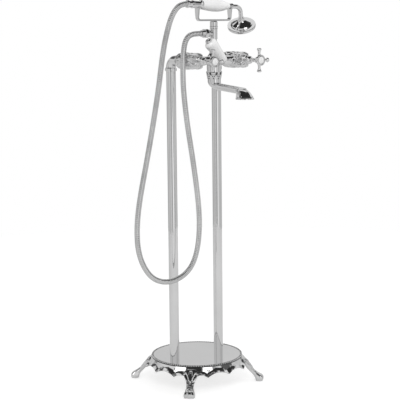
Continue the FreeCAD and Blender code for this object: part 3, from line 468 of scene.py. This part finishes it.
def skirt_edge(angle):
    """The height of the skirt's lower edge at an angle in radians."""
    from_middle = math.degrees(angle) % 90.0
    from_middle = min(from_middle, 90.0 - from_middle)
    height = SKIRT_EDGE - SKIRT_POINT_DROP * max(0.0, 1.0 - abs(45.0 - from_middle) / SKIRT_POINT_SPREAD)
    for place, radius, top in SKIRT_ARCHES:
        across = SKIRT_EDGE_RADIUS * math.radians(abs(from_middle - place))
        if across < radius:
            height = max(height, top - radius + math.sqrt(radius * radius - across * across))
    return height


def skirt_radius(height, edge):
    """A straight cone that flares into a lip along the edge."""
    near = max(0.0, 1.0 - (height - edge) / SKIRT_LIP_HEIGHT)
    return SKIRT_TOP_RADIUS + SKIRT_SLOPE * (SKIRT_TOP - height) + SKIRT_LIP * near**2


def curl(across, up, size):
    """A raised curl: a spiral band that fades out at its size."""
    distance = math.hypot(across, up)
    wave = math.cos(math.atan2(up, across) - CURL_TURN * distance / size)
    fade = max(0.0, 1.0 - (distance / size) ** 4)
    return max(0.0, wave) ** 0.7 * fade


def skirt_relief(angle, height):
    """Cast curls over the middle and the ends of each side."""
    turn = math.degrees(angle) % 90.0
    relief = 0.0
    for place, level, size, hand in SKIRT_CURLS:
        across = SKIRT_EDGE_RADIUS * math.radians(turn - place) * hand
        if abs(across) < SKIRT_CURL_REACH:
            relief = max(relief, SKIRT_CURL_RELIEF * curl(across, height - level, size))
    return relief


def make_skirt():
    """The flared skirt with its scalloped lip, hollowed out beneath."""
    columns, rows, roll_rows = 720, 16, 7
    vertices = []
    lines = [("out", i / rows) for i in range(rows)]
    lines += [("roll", i / (roll_rows - 1)) for i in range(roll_rows)]
    lines += [("in", 1 - i / rows) for i in range(1, rows + 1)]
    for kind, t in lines:
        for j in range(columns):
            angle = 2 * math.pi * j / columns
            edge = skirt_edge(angle) + SKIRT_ROLL
            height = SKIRT_TOP + (edge - SKIRT_TOP) * t
            radius = skirt_radius(height, edge)
            if kind == "out":
                radius += skirt_relief(angle, height)
            elif kind == "in":
                radius -= SKIRT_WALL + SKIRT_WALL_GROWTH * (1 - t)
            else:
                turn = math.pi * t
                centre = skirt_radius(edge, edge) - SKIRT_ROLL
                radius = centre + SKIRT_ROLL * math.cos(turn)
                height = edge - SKIRT_ROLL * math.sin(turn)
            vertices.append(Vector((radius * math.cos(angle), radius * math.sin(angle), height)) * MM)
    faces = grid_faces(len(lines), columns, True)
    finish_piece("scalloped_skirt", vertices, faces, CAST_CHROME, "base", sharp=60.0,
                 replaced=("base_skirt",))


# Outlines of a foot by height: radius of its outer side, of its inner side, and half its width
FOOT_OUTER = ((62.0, 127.0), (56.0, 132.0), (46.0, 140.5), (35.0, 149.5), (26.5, 158.0), (20.5, 167.0),
              (16.5, 174.6), (10.5, 178.8), (4.5, 179.2), (0.8, 177.8))
FOOT_INNER = ((62.0, 122.5), (56.0, 124.0), (46.0, 128.0), (35.0, 134.5), (26.5, 142.0), (20.5, 148.0),
              (15.0, 153.0), (8.0, 157.5), (0.8, 159.0))
FOOT_HALF_WIDTH = ((62.5, 9.0), (60.5, 13.5), (57.5, 17.5), (52.0, 20.5), (44.0, 17.0), (36.0, 12.6),
                   (29.0, 10.4), (22.0, 9.6), (15.5, 12.0), (8.0, 15.2), (0.8, 14.2))
FOOT_TOP = 62.5
FOOT_BOTTOM = 0.8
FOOT_ROWS = 92
FOOT_COLUMNS = 116
FOOT_SQUARENESS = 0.62
LEAF_ROOT = 29.0
LEAF_LOOP = 2.1
LEAF_TIP = 2.0
LEAF_END = 1.1
LOOP_PLACE = 0.9
LOOP_WIDTH = 0.34
TIP_PLACE = 0.97
TIP_WIDTH = 0.07
# Leaves of a fan: lean in degrees, length, and half spread in degrees
LEAVES = ((0.0, 32.0, 12.5), (-31.0, 30.0, 13.5), (31.0, 30.0, 13.5))
PAW_TOP = 19.0
TOE_SPACING = 11.0
TOE_RELIEF = 2.0
KNUCKLE_HEIGHT = 10.0
KNUCKLE_LENGTH = 3.6
KNUCKLE_RELIEF = 0.8
PAW_FADE = 4.0
ANKLE_BOTTOM = 17.0
ANKLE_TOP = 31.0
ANKLE_FADE = 2.5
# Across, height and size
ANKLE_SCROLL = (5.0, 24.5, 6.0)
SCROLL_RELIEF = 1.4
FOLD_DEPTH = 0.6
# The relief as a whole lies this much deeper, fades in from the sides this fast, and widens the foot a little
RELIEF_DEPTH = 0.5
RELIEF_FADE = 2.5
RELIEF_SPREAD = 0.01


def at_height(table, height):
    """The value of a table, whose rows run down by height, read at a height."""
    heights, values = zip(*reversed(table))
    return float(np.interp(height, heights, values))


def palmette(across, height):
    """Three leaves that fan out from the ankle, each a raised loop that closes in a rounded tip."""
    up = height - LEAF_ROOT
    distance = math.hypot(across, up)
    if distance < 1.0 or up < 0:
        return 0.0
    turn = math.degrees(math.atan2(across, up))
    relief = 0.0
    for lean, reach, spread in LEAVES:
        share = distance / reach
        if share >= LEAF_END:
            continue
        width = spread * max(0.02, math.sin(math.pi * min(1.0, 0.12 + share * 0.86) ** 1.3)) ** 0.5
        offset = abs(turn - lean) / width
        loop = max(0.0, 1.0 - abs(offset - LOOP_PLACE) / LOOP_WIDTH)
        tip = max(0.0, 1.0 - abs(share - TIP_PLACE) / TIP_WIDTH) * (offset < 1.0)
        relief = max(relief, LEAF_TIP * tip)
        if share < 1.0:
            relief = max(relief, LEAF_LOOP * loop)
    return relief


def claws(across, height):
    """Three long toes side by side across the paw, with knuckles."""
    if height > PAW_TOP:
        return 0.0
    ridge = abs(math.cos(math.pi * across / TOE_SPACING))
    knuckle = 0.5 + 0.5 * math.cos((height - KNUCKLE_HEIGHT) / KNUCKLE_LENGTH)
    fade = min(1.0, (PAW_TOP - height) / PAW_FADE)
    return fade * (TOE_RELIEF * ridge**0.8 - 1.0 + KNUCKLE_RELIEF * knuckle * ridge)


def ankle_folds(across, height):
    """Two scrolls and gathered folds above the paw."""
    if not ANKLE_BOTTOM < height < ANKLE_TOP:
        return 0.0
    fade = min(1.0, (height - ANKLE_BOTTOM) / ANKLE_FADE, (ANKLE_TOP - height) / ANKLE_FADE)
    place, level, size = ANKLE_SCROLL
    scroll = curl(abs(across) - place, height - level, size)
    return fade * (SCROLL_RELIEF * scroll - FOLD_DEPTH)


def make_foot(name, node, turn_degrees):
    """A cabriole foot built in level slices, whose outer side carries the leaf fan, folds and toes."""
    turn = math.radians(turn_degrees)
    vertices = []
    for i in range(FOOT_ROWS):
        height = FOOT_TOP - (FOOT_TOP - FOOT_BOTTOM) * i / (FOOT_ROWS - 1)
        outer = at_height(FOOT_OUTER, height)
        inner = at_height(FOOT_INNER, height)
        width = at_height(FOOT_HALF_WIDTH, height)
        for j in range(FOOT_COLUMNS):
            angle = 2 * math.pi * (j + 0.5) / FOOT_COLUMNS
            out = math.cos(angle)
            side = math.sin(angle)
            along = math.copysign(abs(out) ** FOOT_SQUARENESS, out)
            across = width * math.copysign(abs(side) ** FOOT_SQUARENESS, side)
            radius = (outer + inner) / 2 + (outer - inner) / 2 * along
            if out > 0:
                relief = palmette(across, height) + claws(across, height) + ankle_folds(across, height)
                radius += (relief - RELIEF_DEPTH) * min(1.0, RELIEF_FADE * out)
                across *= 1.0 + RELIEF_SPREAD * relief
            x = radius * math.cos(turn) - across * math.sin(turn)
            y = radius * math.sin(turn) + across * math.cos(turn)
            vertices.append(Vector((x, y, height)) * MM)
    faces = capped_faces(FOOT_ROWS, FOOT_COLUMNS)
    finish_piece(name, vertices, faces, CAST_CHROME, "base", sharp=60.0, replaced=(node,))


make_rim()
make_skirt()
for foot_number, corner in enumerate(("back_right", "back_left", "front_left", "front_right")):
    make_foot("claw_foot_" + corner, corner + "_foot", 45.0 + 90.0 * foot_number)


# Valves and mixer


# The two rows of leaves that overlap on a cast piece: where each begins and ends, as shares of the length
LEAF_ROWS = ((-0.25, 0.56), (0.16, 1.0))
LEAF_LOBES = 3.0
LOBE_DEPTH = 0.16
VEIN_LEAN = 0.9
VEIN_RELIEF = 0.3
SPINE_RELIEF = 0.4
SPINE_WIDTH = 0.18


def acanthus(start, end, leaves, height):
    """Relief of lobed, veined leaves that grow from the start of a turned piece to the end."""
    sector = 2 * math.pi / leaves

    def change(along, angle):
        t = (along - start) / (end - start)
        if not 0.0 < t < 1.0:
            return 0.0
        relief = 0.0
        for row, (begin, finish) in enumerate(LEAF_ROWS):
            share = (t - begin) / (finish - begin)
            if not 0.0 < share < 1.0:
                continue
            offset = ((angle + row * sector / 2) % sector) / sector - 0.5
            lobes = 1.0 + LOBE_DEPTH * math.cos(2 * math.pi * LEAF_LOBES * share)
            width = 0.5 * math.sin(math.pi * min(1.0, 0.2 + 0.8 * share)) ** 0.5 * lobes
            side = abs(offset) / max(0.02, width)
            if side >= 1.0:
                continue
            body = (1.0 - side**4) ** 0.7
            wave = math.cos(2 * math.pi * (LEAF_LOBES * share - VEIN_LEAN * side))
            veins = VEIN_RELIEF * wave * min(1.0, 3.0 * side)
            spine = SPINE_RELIEF * max(0.0, 1.0 - side / SPINE_WIDTH)
            relief = max(relief, (body * (1.0 + veins) + spine) * (0.45 + 0.55 * share))
        return height * relief

    return change


def rounded(points, steps):
    """The smooth line through the points, as a list of outline points."""
    return [tuple(point) for point in smooth_line(points, steps)]


HOUSING_BACK = 34.0
HOUSING_NOSE = 127.0
HOUSING_SHAPE = ((37.0, 15.4), (42.0, 17.6), (56.0, 18.8), (90.0, 18.8), (110.0, 18.0), (120.0, 15.2),
                 (126.0, 12.6))
HOUSING_LEAVES = 5
HOUSING_LEAF_START = 39.0
HOUSING_LEAF_END = 125.0
HOUSING_LEAF_HEIGHT = 2.6
# Leaves grow only where the housing is thicker than this
HOUSING_LEAF_LEAST = 12.6


def make_housing(side_name, side):
    """The cast housing of a valve, from its elbow to its nose, with leaves all round."""
    relief = acanthus(HOUSING_LEAF_START, HOUSING_LEAF_END, HOUSING_LEAVES, HOUSING_LEAF_HEIGHT)
    outline = [(HOUSING_BACK, 13.2), (HOUSING_BACK, 15.6), (HOUSING_BACK + 3.0, 15.6)]
    outline += rounded(HOUSING_SHAPE, 22)
    outline += [(HOUSING_NOSE, 12.4), (HOUSING_NOSE, 3.9)]
    origin = (side * LEG_OFFSET, 0.0, VALVE_HEIGHT)

    def change(along, angle, radius):
        return relief(along, angle) if radius > HOUSING_LEAF_LEAST else 0.0

    lathe(side_name + "_leaf_housing", outline, origin, FRONT, CAST_CHROME, "base", segments=160,
          change=change, sharp=55.0, replaced=(side_name + "_valve_housing",))


BEZEL = ((177.7, 12.9), (177.7, 14.3), (180.2, 14.3), (181.6, 13.2), (181.6, 12.0), (180.6, 11.6),
         (180.9, 10.6), (182.3, 10.0), (182.2, 9.0), (181.6, 8.9), (179.6, 9.6))


def make_bezel(side_name, side):
    """The plated ring round the porcelain disc of a handle, with a step in its face."""
    origin = (side * LEG_OFFSET, 0.0, VALVE_HEIGHT)
    lathe(side_name + "_disc_ring", BEZEL, origin, FRONT, CHROME, side_name + "_handle",
          segments=64, closed=True)


OUTLET_HEIGHT = 926.5
OUTLET_NUT = ((16.0, 6.6), (16.0, 9.6), (22.0, 10.0), (23.2, 10.2), (23.4, 12.2), (31.6, 12.2), (32.0, 10.4),
              (35.0, 9.4), (41.0, 8.6), (41.0, 6.6))
OUTLET_FLATS = (23.0, 32.5)
OUTLET_HALF_FLAT = 11.0


def make_outlet_nut():
    """The hose nut on the outlet, with its six flats."""

    def flats(along, angle, radius):
        start, end = OUTLET_FLATS
        if not start < along < end:
            return 0.0
        turn = (angle % (math.pi / 3)) - math.pi / 6
        return min(0.0, OUTLET_HALF_FLAT / math.cos(turn) - radius)

    origin = (0.0, -BODY_FORWARD, OUTLET_HEIGHT)
    lathe("outlet_hex_nut", OUTLET_NUT, origin, -RIGHT, CHROME, "base", segments=72, change=flats,
          closed=True, sharp=25.0, replaced=("outlet_hose_nut",))


BODY_LEAF_START = 810.2
BODY_LEAF_TABLE = ((814.0, 17.0), (820.0, 17.6), (826.0, 18.2), (831.0, 18.4))
BODY_LEAF_LENGTH = 20.0
BODY_LEAF_COUNT = 8
BODY_LEAF_HEIGHT = 1.7
BODY_LEAF_LEAST = 16.0
# Outline of the painted shade: a dark sheet that shows between the leaves
BODY_HOLLOW = ((810.8, 16.4), (811.0, 17.3), (814.0, 17.9), (820.0, 18.7), (826.0, 19.3), (829.0, 18.0))


def make_body_leaves():
    """The cast leaves round the foot of the mixer body, and painted shade in the hollows between them."""
    relief = acanthus(BODY_LEAF_START, BODY_LEAF_START + BODY_LEAF_LENGTH, BODY_LEAF_COUNT, BODY_LEAF_HEIGHT)
    outline = [(BODY_LEAF_START, 15.5)]
    outline += rounded(((BODY_LEAF_START, 16.6), *BODY_LEAF_TABLE), 26)
    outline += [(831.2, 17.0)]
    origin = (0.0, -BODY_FORWARD, 0.0)

    def change(along, angle, radius):
        return relief(along, angle) if radius > BODY_LEAF_LEAST else 0.0

    lathe("body_leaves", outline, origin, UP, CAST_CHROME, "base", segments=144, change=change,
          sharp=55.0)
    # Painted shade: a dark sheet just under the leaves' surface, which shows between the leaves as shade
    lathe("body_leaf_hollow_shade", BODY_HOLLOW, origin, UP, PAINTED_SHADE, "base", segments=96)


MOUTH_HEIGHT = 763.5
# The mouth's level slices: height over the mouth, radius, shift towards the body
MOUTH_INSIDE = ((8.0, 19.2, 2.2), (0.4, 21.2, 0.0))
MOUTH_SLICES = ((0.0, 23.2, 0.0), (2.6, 23.1, 0.1), (3.0, 22.6, 0.4), (6.5, 21.4, 1.6), (10.5, 19.9, 3.2),
                (14.5, 18.3, 4.9), (18.0, 16.6, 6.8), (21.0, 14.7, 8.9), (23.5, 12.4, 11.2),
                (25.6, 9.7, 13.5), (27.2, 6.4, 15.8), (28.2, 2.8, 17.8))
SPOUT_AXIS = 790.5
SPOUT_DROP = 7.6
SPOUT_REACH = 204.5
SPOUT_ROOT = 806.0
SPOUT_FOOT = 802.0
SPOUT_FOOT_RADIUS = 16.0
SPOUT_BEND = 30.0
SPOUT_TUBE = 9.0
SPOUT_OVERLAP = 2.0


def make_mouth():
    """A bell over the mouth, upright at the back and sloped at the front, hollow, with a rolled lip."""
    columns = 72
    rings = MOUTH_INSIDE + MOUTH_SLICES
    vertices = []
    for height, radius, shift in rings:
        for j in range(columns):
            angle = 2 * math.pi * j / columns
            x = radius * math.cos(angle)
            y = -SPOUT_REACH + shift + radius * math.sin(angle)
            vertices.append(Vector((x, y, MOUTH_HEIGHT + height)) * MM)
    faces = grid_faces(len(rings), columns)
    faces.append(tuple(range(len(vertices) - columns, len(vertices))))
    finish_piece("spout_bell", vertices, faces, CHROME, "base", sharp=40.0)


def make_spout():
    """The foot under the body, its bend, and the straight tube to the bell."""
    columns, steps = 64, 18
    level = Vector((0, SPOUT_FOOT_RADIUS, 0))
    start = Vector((0, -BODY_FORWARD, SPOUT_FOOT))
    bend_end = Vector((0, -BODY_FORWARD - SPOUT_BEND, SPOUT_AXIS))
    end = Vector((0, -SPOUT_REACH + SPOUT_OVERLAP, SPOUT_AXIS - SPOUT_DROP))
    run = (end - bend_end).normalized()
    square = run.cross(RIGHT).normalized() * SPOUT_TUBE
    if square.z > 0:
        square = -square
    rings = [(Vector((0, -BODY_FORWARD, SPOUT_ROOT)), level, SPOUT_FOOT_RADIUS)]
    for i in range(steps + 1):
        turn = math.pi / 2 * i / steps
        points = []
        for first, last in ((start - level, bend_end - square), (start + level, bend_end + square)):
            forward = first.y + (last.y - first.y) * (1 - math.cos(turn))
            points.append(Vector((0, forward, first.z + (last.z - first.z) * math.sin(turn))))
        front, back = points
        rings.append(((front + back) / 2, (back - front) / 2, (back - front).length / 2))
    for share in (0.3, 0.6, 1.0):
        rings.append((bend_end.lerp(end, share), square, SPOUT_TUBE))
    vertices = []
    for centre, reach, radius in rings:
        for j in range(columns):
            angle = 2 * math.pi * j / columns
            vertices.append((centre + reach * math.sin(angle) + RIGHT * radius * math.cos(angle)) * MM)
    faces = capped_faces(len(rings), columns)
    finish_piece("spout_tube", vertices, faces, CHROME, "base", sharp=40.0, replaced=("spout",))


LEVER_FORWARD = 125.0
LEVER_SHAPE = ((-4.6, 1.4), (-3.2, 5.6), (1.0, 9.2), (8.0, 11.0), (24.0, 12.4), (42.0, 14.4), (56.0, 15.9),
               (64.0, 15.2), (68.5, 9.8))


def make_lever():
    """The porcelain grip: a long drop shape from a rounded root to the metal tip."""
    outline = [(-4.6, 0.0)] + rounded(LEVER_SHAPE, 30) + [(68.5, 3.5)]
    origin = (0.0, -LEVER_FORWARD, VALVE_HEIGHT)
    lathe("porcelain_lever", outline, origin, (UP - RIGHT).normalized(), PORCELAIN, "lever",
          segments=72, replaced=("lever_grip",))


HANDSET_HEIGHT = 997.2
HANDSET_SLOPE = 2.3
HANDSET_LEAN = 24.0
# The neck leaves the hand shower at this distance, bends down by this radius and angle, then runs straight
NECK_START = 73.0
NECK_RADIUS = 24.0
NECK_ANGLE = 64.7
NECK_RUN = 17.0
ROSE_COLLAR = ((0.0, 5.5), (0.0, 7.8), (0.5, 8.2), (2.6, 8.2), (3.1, 7.7), (4.8, 7.6), (5.8, 8.2), (7.0, 8.7))
ROSE_BELL = ((8.2, 9.4), (10.0, 11.6), (13.0, 16.4), (16.0, 21.2), (18.2, 24.7), (20.2, 26.9), (21.3, 28.2))
ROSE_FLANGE = ((21.5, 29.0), (21.55, 31.0), (21.65, 35.4), (21.7, 36.1), (22.0, 36.6), (22.6, 36.8),
               (27.4, 36.8), (28.4, 36.5), (29.0, 35.8), (29.0, 34.9), (23.6, 34.9))


def make_rose():
    """The bell of the hand shower, on a flat flange with a rounded rim."""
    slope = Matrix.Rotation(math.radians(HANDSET_SLOPE), 4, "Y")
    lean = Matrix.Rotation(math.radians(HANDSET_LEAN), 4, "X")
    handset = Matrix.Translation((0, -BODY_FORWARD, HANDSET_HEIGHT)) @ (slope @ lean)
    turn = math.radians(NECK_ANGLE)
    spray = Vector((math.cos(turn), 0, -math.sin(turn)))
    neck_end = Vector((NECK_START + NECK_RADIUS * math.sin(turn), 0, -NECK_RADIUS * (1 - math.cos(turn))))
    outline = [*ROSE_COLLAR, *rounded(ROSE_BELL, 18), *ROSE_FLANGE]
    lathe("bell_rose", outline, handset @ (neck_end + spray * NECK_RUN), handset.to_3x3() @ spray, CHROME,
          "handset", segments=120, replaced=("rose",))


for handle_name, handle_side in (("left", -1), ("right", 1)):
    make_housing(handle_name, handle_side)
    make_bezel(handle_name, handle_side)
make_outlet_nut()
make_body_leaves()
make_mouth()
make_spout()
make_lever()
make_rose()


# Floor, world and lamps

FLOOR_RADIUS = 2.4
FLOOR_SIDES = 96
# The floor's own glow, as the camera sees it and as shiny things see it
FLOOR_GLOW = 0.68
FLOOR_SHEEN = 0.3


def glowing(tree, principled, strength):
    """The shader with a glow of this strength added."""
    glow = add(tree, "ShaderNodeEmission", Strength=strength)
    both = add(tree, "ShaderNodeAddShader")
    tree.links.new(principled.outputs[0], both.inputs[0])
    tree.links.new(glow.outputs[0], both.inputs[1])
    return both.outputs[0]


def chosen(tree, ray, otherwise, shader_for_ray):
    """One shader for rays of this kind, and another otherwise."""
    node = add(tree, "ShaderNodeMixShader")
    tree.links.new(ray, node.inputs[0])
    tree.links.new(otherwise, node.inputs[1])
    tree.links.new(shader_for_ray, node.inputs[2])
    return node.outputs[0]


def make_floor():
    """A pale floor that melts into the white behind it, and darkens where the object keeps light off it."""
    mesh = bpy.data.meshes.new("floor")
    rim = []
    for i in range(FLOOR_SIDES):
        angle = 2 * math.pi * i / FLOOR_SIDES
        rim.append((FLOOR_RADIUS * math.cos(angle), FLOOR_RADIUS * math.sin(angle), 0))
    mesh.from_pydata(rim, [], [tuple(range(FLOOR_SIDES))])
    material, tree, principled = shader("floor", Roughness=0.7)
    grain = ramp(tree, noise(tree, 3.0, 2.0), 0.0, 1.0)
    colour = tinted(tree, grain, (0.44, 0.44, 0.44), (0.46, 0.46, 0.46))
    tree.links.new(colour, principled.inputs["Base Color"])
    rays = add(tree, "ShaderNodeLightPath")
    lit = glowing(tree, principled, FLOOR_GLOW)
    mirrored = glowing(tree, principled, FLOOR_SHEEN)
    unseen = chosen(tree, rays.outputs["Is Glossy Ray"], principled.outputs[0], mirrored)
    shown = chosen(tree, rays.outputs["Is Camera Ray"], unseen, lit)
    tree.links.new(shown, tree.nodes["Material Output"].inputs["Surface"])
    mesh.materials.append(material)
    floor = bpy.data.objects.new("floor", mesh)
    bpy.context.scene.collection.objects.link(floor)


# The room's grey as matt things see it
ROOM_DIFFUSE = 0.62
# Stops of the pale room by height, from straight down to straight up
ROOM_STOPS = ((0.0, 0.5), (0.35, 0.6), (0.5, 0.64), (0.64, 0.7), (0.78, 0.85), (1.0, 0.85))
# The dark part of the room, over the photographer: how far round and down it reaches, and its grey
CAMERA_SIDE = (-0.62, -0.785)
DARK_EDGE = -0.26
DARK_EDGE_BLUR = 0.06
DARK_BOTTOM = (0.52, 0.6)
DARK_GREY = 0.03
PATCH_BLUR = 1.0
# Strips and panes: bearing and half width in degrees, lowest and highest height, grey
ROOM_PATCHES = (
    (-128.0, 66.0, -0.7, 0.3, 0.74),
    (-130.0, 5.0, -0.6, 0.2, 0.1),
    (-105.0, 9.0, -0.6, 0.2, 1.05),
    (-156.0, 4.0, -0.6, 0.2, 0.45),
    (-84.0, 4.0, -0.6, 0.3, 0.5),
    (174.0, 7.0, -0.6, 0.5, 0.42),
    (-56.0, 6.0, -0.6, 0.6, 0.42),
    (20.0, 9.0, -0.3, 0.22, 0.3),
    (110.0, 9.0, -0.3, 0.22, 0.3),
    (95.0, 28.0, 0.38, 0.64, 0.1),
    (-10.0, 22.0, 0.62, 0.86, 0.05),
    (-44.0, 16.0, 0.3, 0.62, 0.12),
)
PANES = (
    (-173.0, 14.0, 0.5, 0.76, 2.0),
    (-99.0, 13.0, 0.5, 0.76, 2.0),
)


def make_world():
    """White to the camera. Shiny things see a pale room, partly dark, with two bright panes."""
    world = bpy.data.worlds.new("world")
    bpy.context.scene.world = world
    world.use_nodes = True
    tree = world.node_tree
    tree.nodes.clear()
    link = tree.links.new
    place = add(tree, "ShaderNodeTexCoord").outputs["Generated"]
    split = add(tree, "ShaderNodeSeparateXYZ")
    link(place, split.inputs[0])
    height = split.outputs["Z"]

    def put(socket, value):
        if isinstance(value, (int, float)):
            socket.default_value = value
        else:
            link(value, socket)

    def reckon(kind, *values):
        node = add(tree, "ShaderNodeMath", operation=kind)
        for socket, value in zip(node.inputs, values):
            put(socket, value)
        return node.outputs[0]

    def blend_in(under, over, share):
        node = add(tree, "ShaderNodeMix", data_type="RGBA")
        put(node.inputs[0], share)
        for socket, value in ((node.inputs[6], under), (node.inputs[7], over)):
            if isinstance(value, float):
                socket.default_value = (value, value, value, 1)
            else:
                link(value, socket)
        return node.outputs[2]

    def soft(value, start, end):
        node = add(tree, "ShaderNodeMapRange")
        node.interpolation_type = "SMOOTHSTEP"
        node.inputs["From Min"].default_value = start
        node.inputs["From Max"].default_value = end
        link(value, node.inputs["Value"])
        return node.outputs["Result"]

    def patches(room, rows):
        for centre, half, low, high, grey in rows:
            turn = reckon("WRAP", reckon("SUBTRACT", bearing, math.radians(centre)), math.pi, -math.pi)
            outer, inner = math.radians(half + PATCH_BLUR), math.radians(half - PATCH_BLUR)
            sides = soft(reckon("ABSOLUTE", turn), outer, inner)
            inside = reckon("MULTIPLY", sides, reckon("GREATER_THAN", height, low))
            room = blend_in(room, grey, reckon("MULTIPLY", inside, reckon("LESS_THAN", height, high)))
        return room

    bearing = reckon("ARCTAN2", split.outputs["Y"], split.outputs["X"])
    curve = add(tree, "ShaderNodeValToRGB")
    link(reckon("MULTIPLY_ADD", height, 0.5, 0.5), curve.inputs[0])
    elements = curve.color_ramp.elements
    while len(elements) < len(ROOM_STOPS):
        elements.new(0.5)
    for element, (where, grey) in zip(elements, ROOM_STOPS):
        element.position = where
        element.color = (grey, grey, grey, 1)
    room = patches(curve.outputs[0], ROOM_PATCHES)
    towards_x = reckon("MULTIPLY", split.outputs["X"], CAMERA_SIDE[0])
    towards_y = reckon("MULTIPLY", split.outputs["Y"], CAMERA_SIDE[1])
    towards = reckon("ADD", towards_x, towards_y)
    dark_side = soft(towards, DARK_EDGE - DARK_EDGE_BLUR, DARK_EDGE + DARK_EDGE_BLUR)
    dark_share = reckon("MULTIPLY", dark_side, soft(height, *DARK_BOTTOM))
    room = patches(blend_in(room, DARK_GREY, dark_share), PANES)
    rays = add(tree, "ShaderNodeLightPath")
    lit = blend_in(ROOM_DIFFUSE, room, rays.outputs["Is Glossy Ray"])
    seen = blend_in(lit, 1.0, rays.outputs["Is Camera Ray"])
    background = add(tree, "ShaderNodeBackground")
    link(seen, background.inputs["Color"])
    link(background.outputs[0], add(tree, "ShaderNodeOutputWorld").inputs["Surface"])


def make_lamp(name, place, aim, size, power):
    data = bpy.data.lights.new(name, "AREA")
    data.shape = "RECTANGLE"
    data.size, data.size_y = size
    data.energy = power
    lamp = bpy.data.objects.new(name, data)
    lamp.location = place
    lamp.rotation_mode = "QUATERNION"
    lamp.rotation_quaternion = (Vector(aim) - Vector(place)).to_track_quat("-Z", "Y")
    lamp.visible_glossy = False
    bpy.context.scene.collection.objects.link(lamp)


# Name, place, aim and size in metres, and power in watts
LAMPS = (
    ("key", (-1.8, -2.2, 2.6), (0.0, 0.0, 0.6), (1.6, 1.6), 42.0),
    ("fill", (2.4, -1.2, 1.8), (0.0, 0.0, 0.5), (1.8, 1.8), 18.0),
)

make_floor()
make_world()
for lamp_values in LAMPS:
    make_lamp(*lamp_values)

bpy.context.scene.view_settings.view_transform = "Standard"
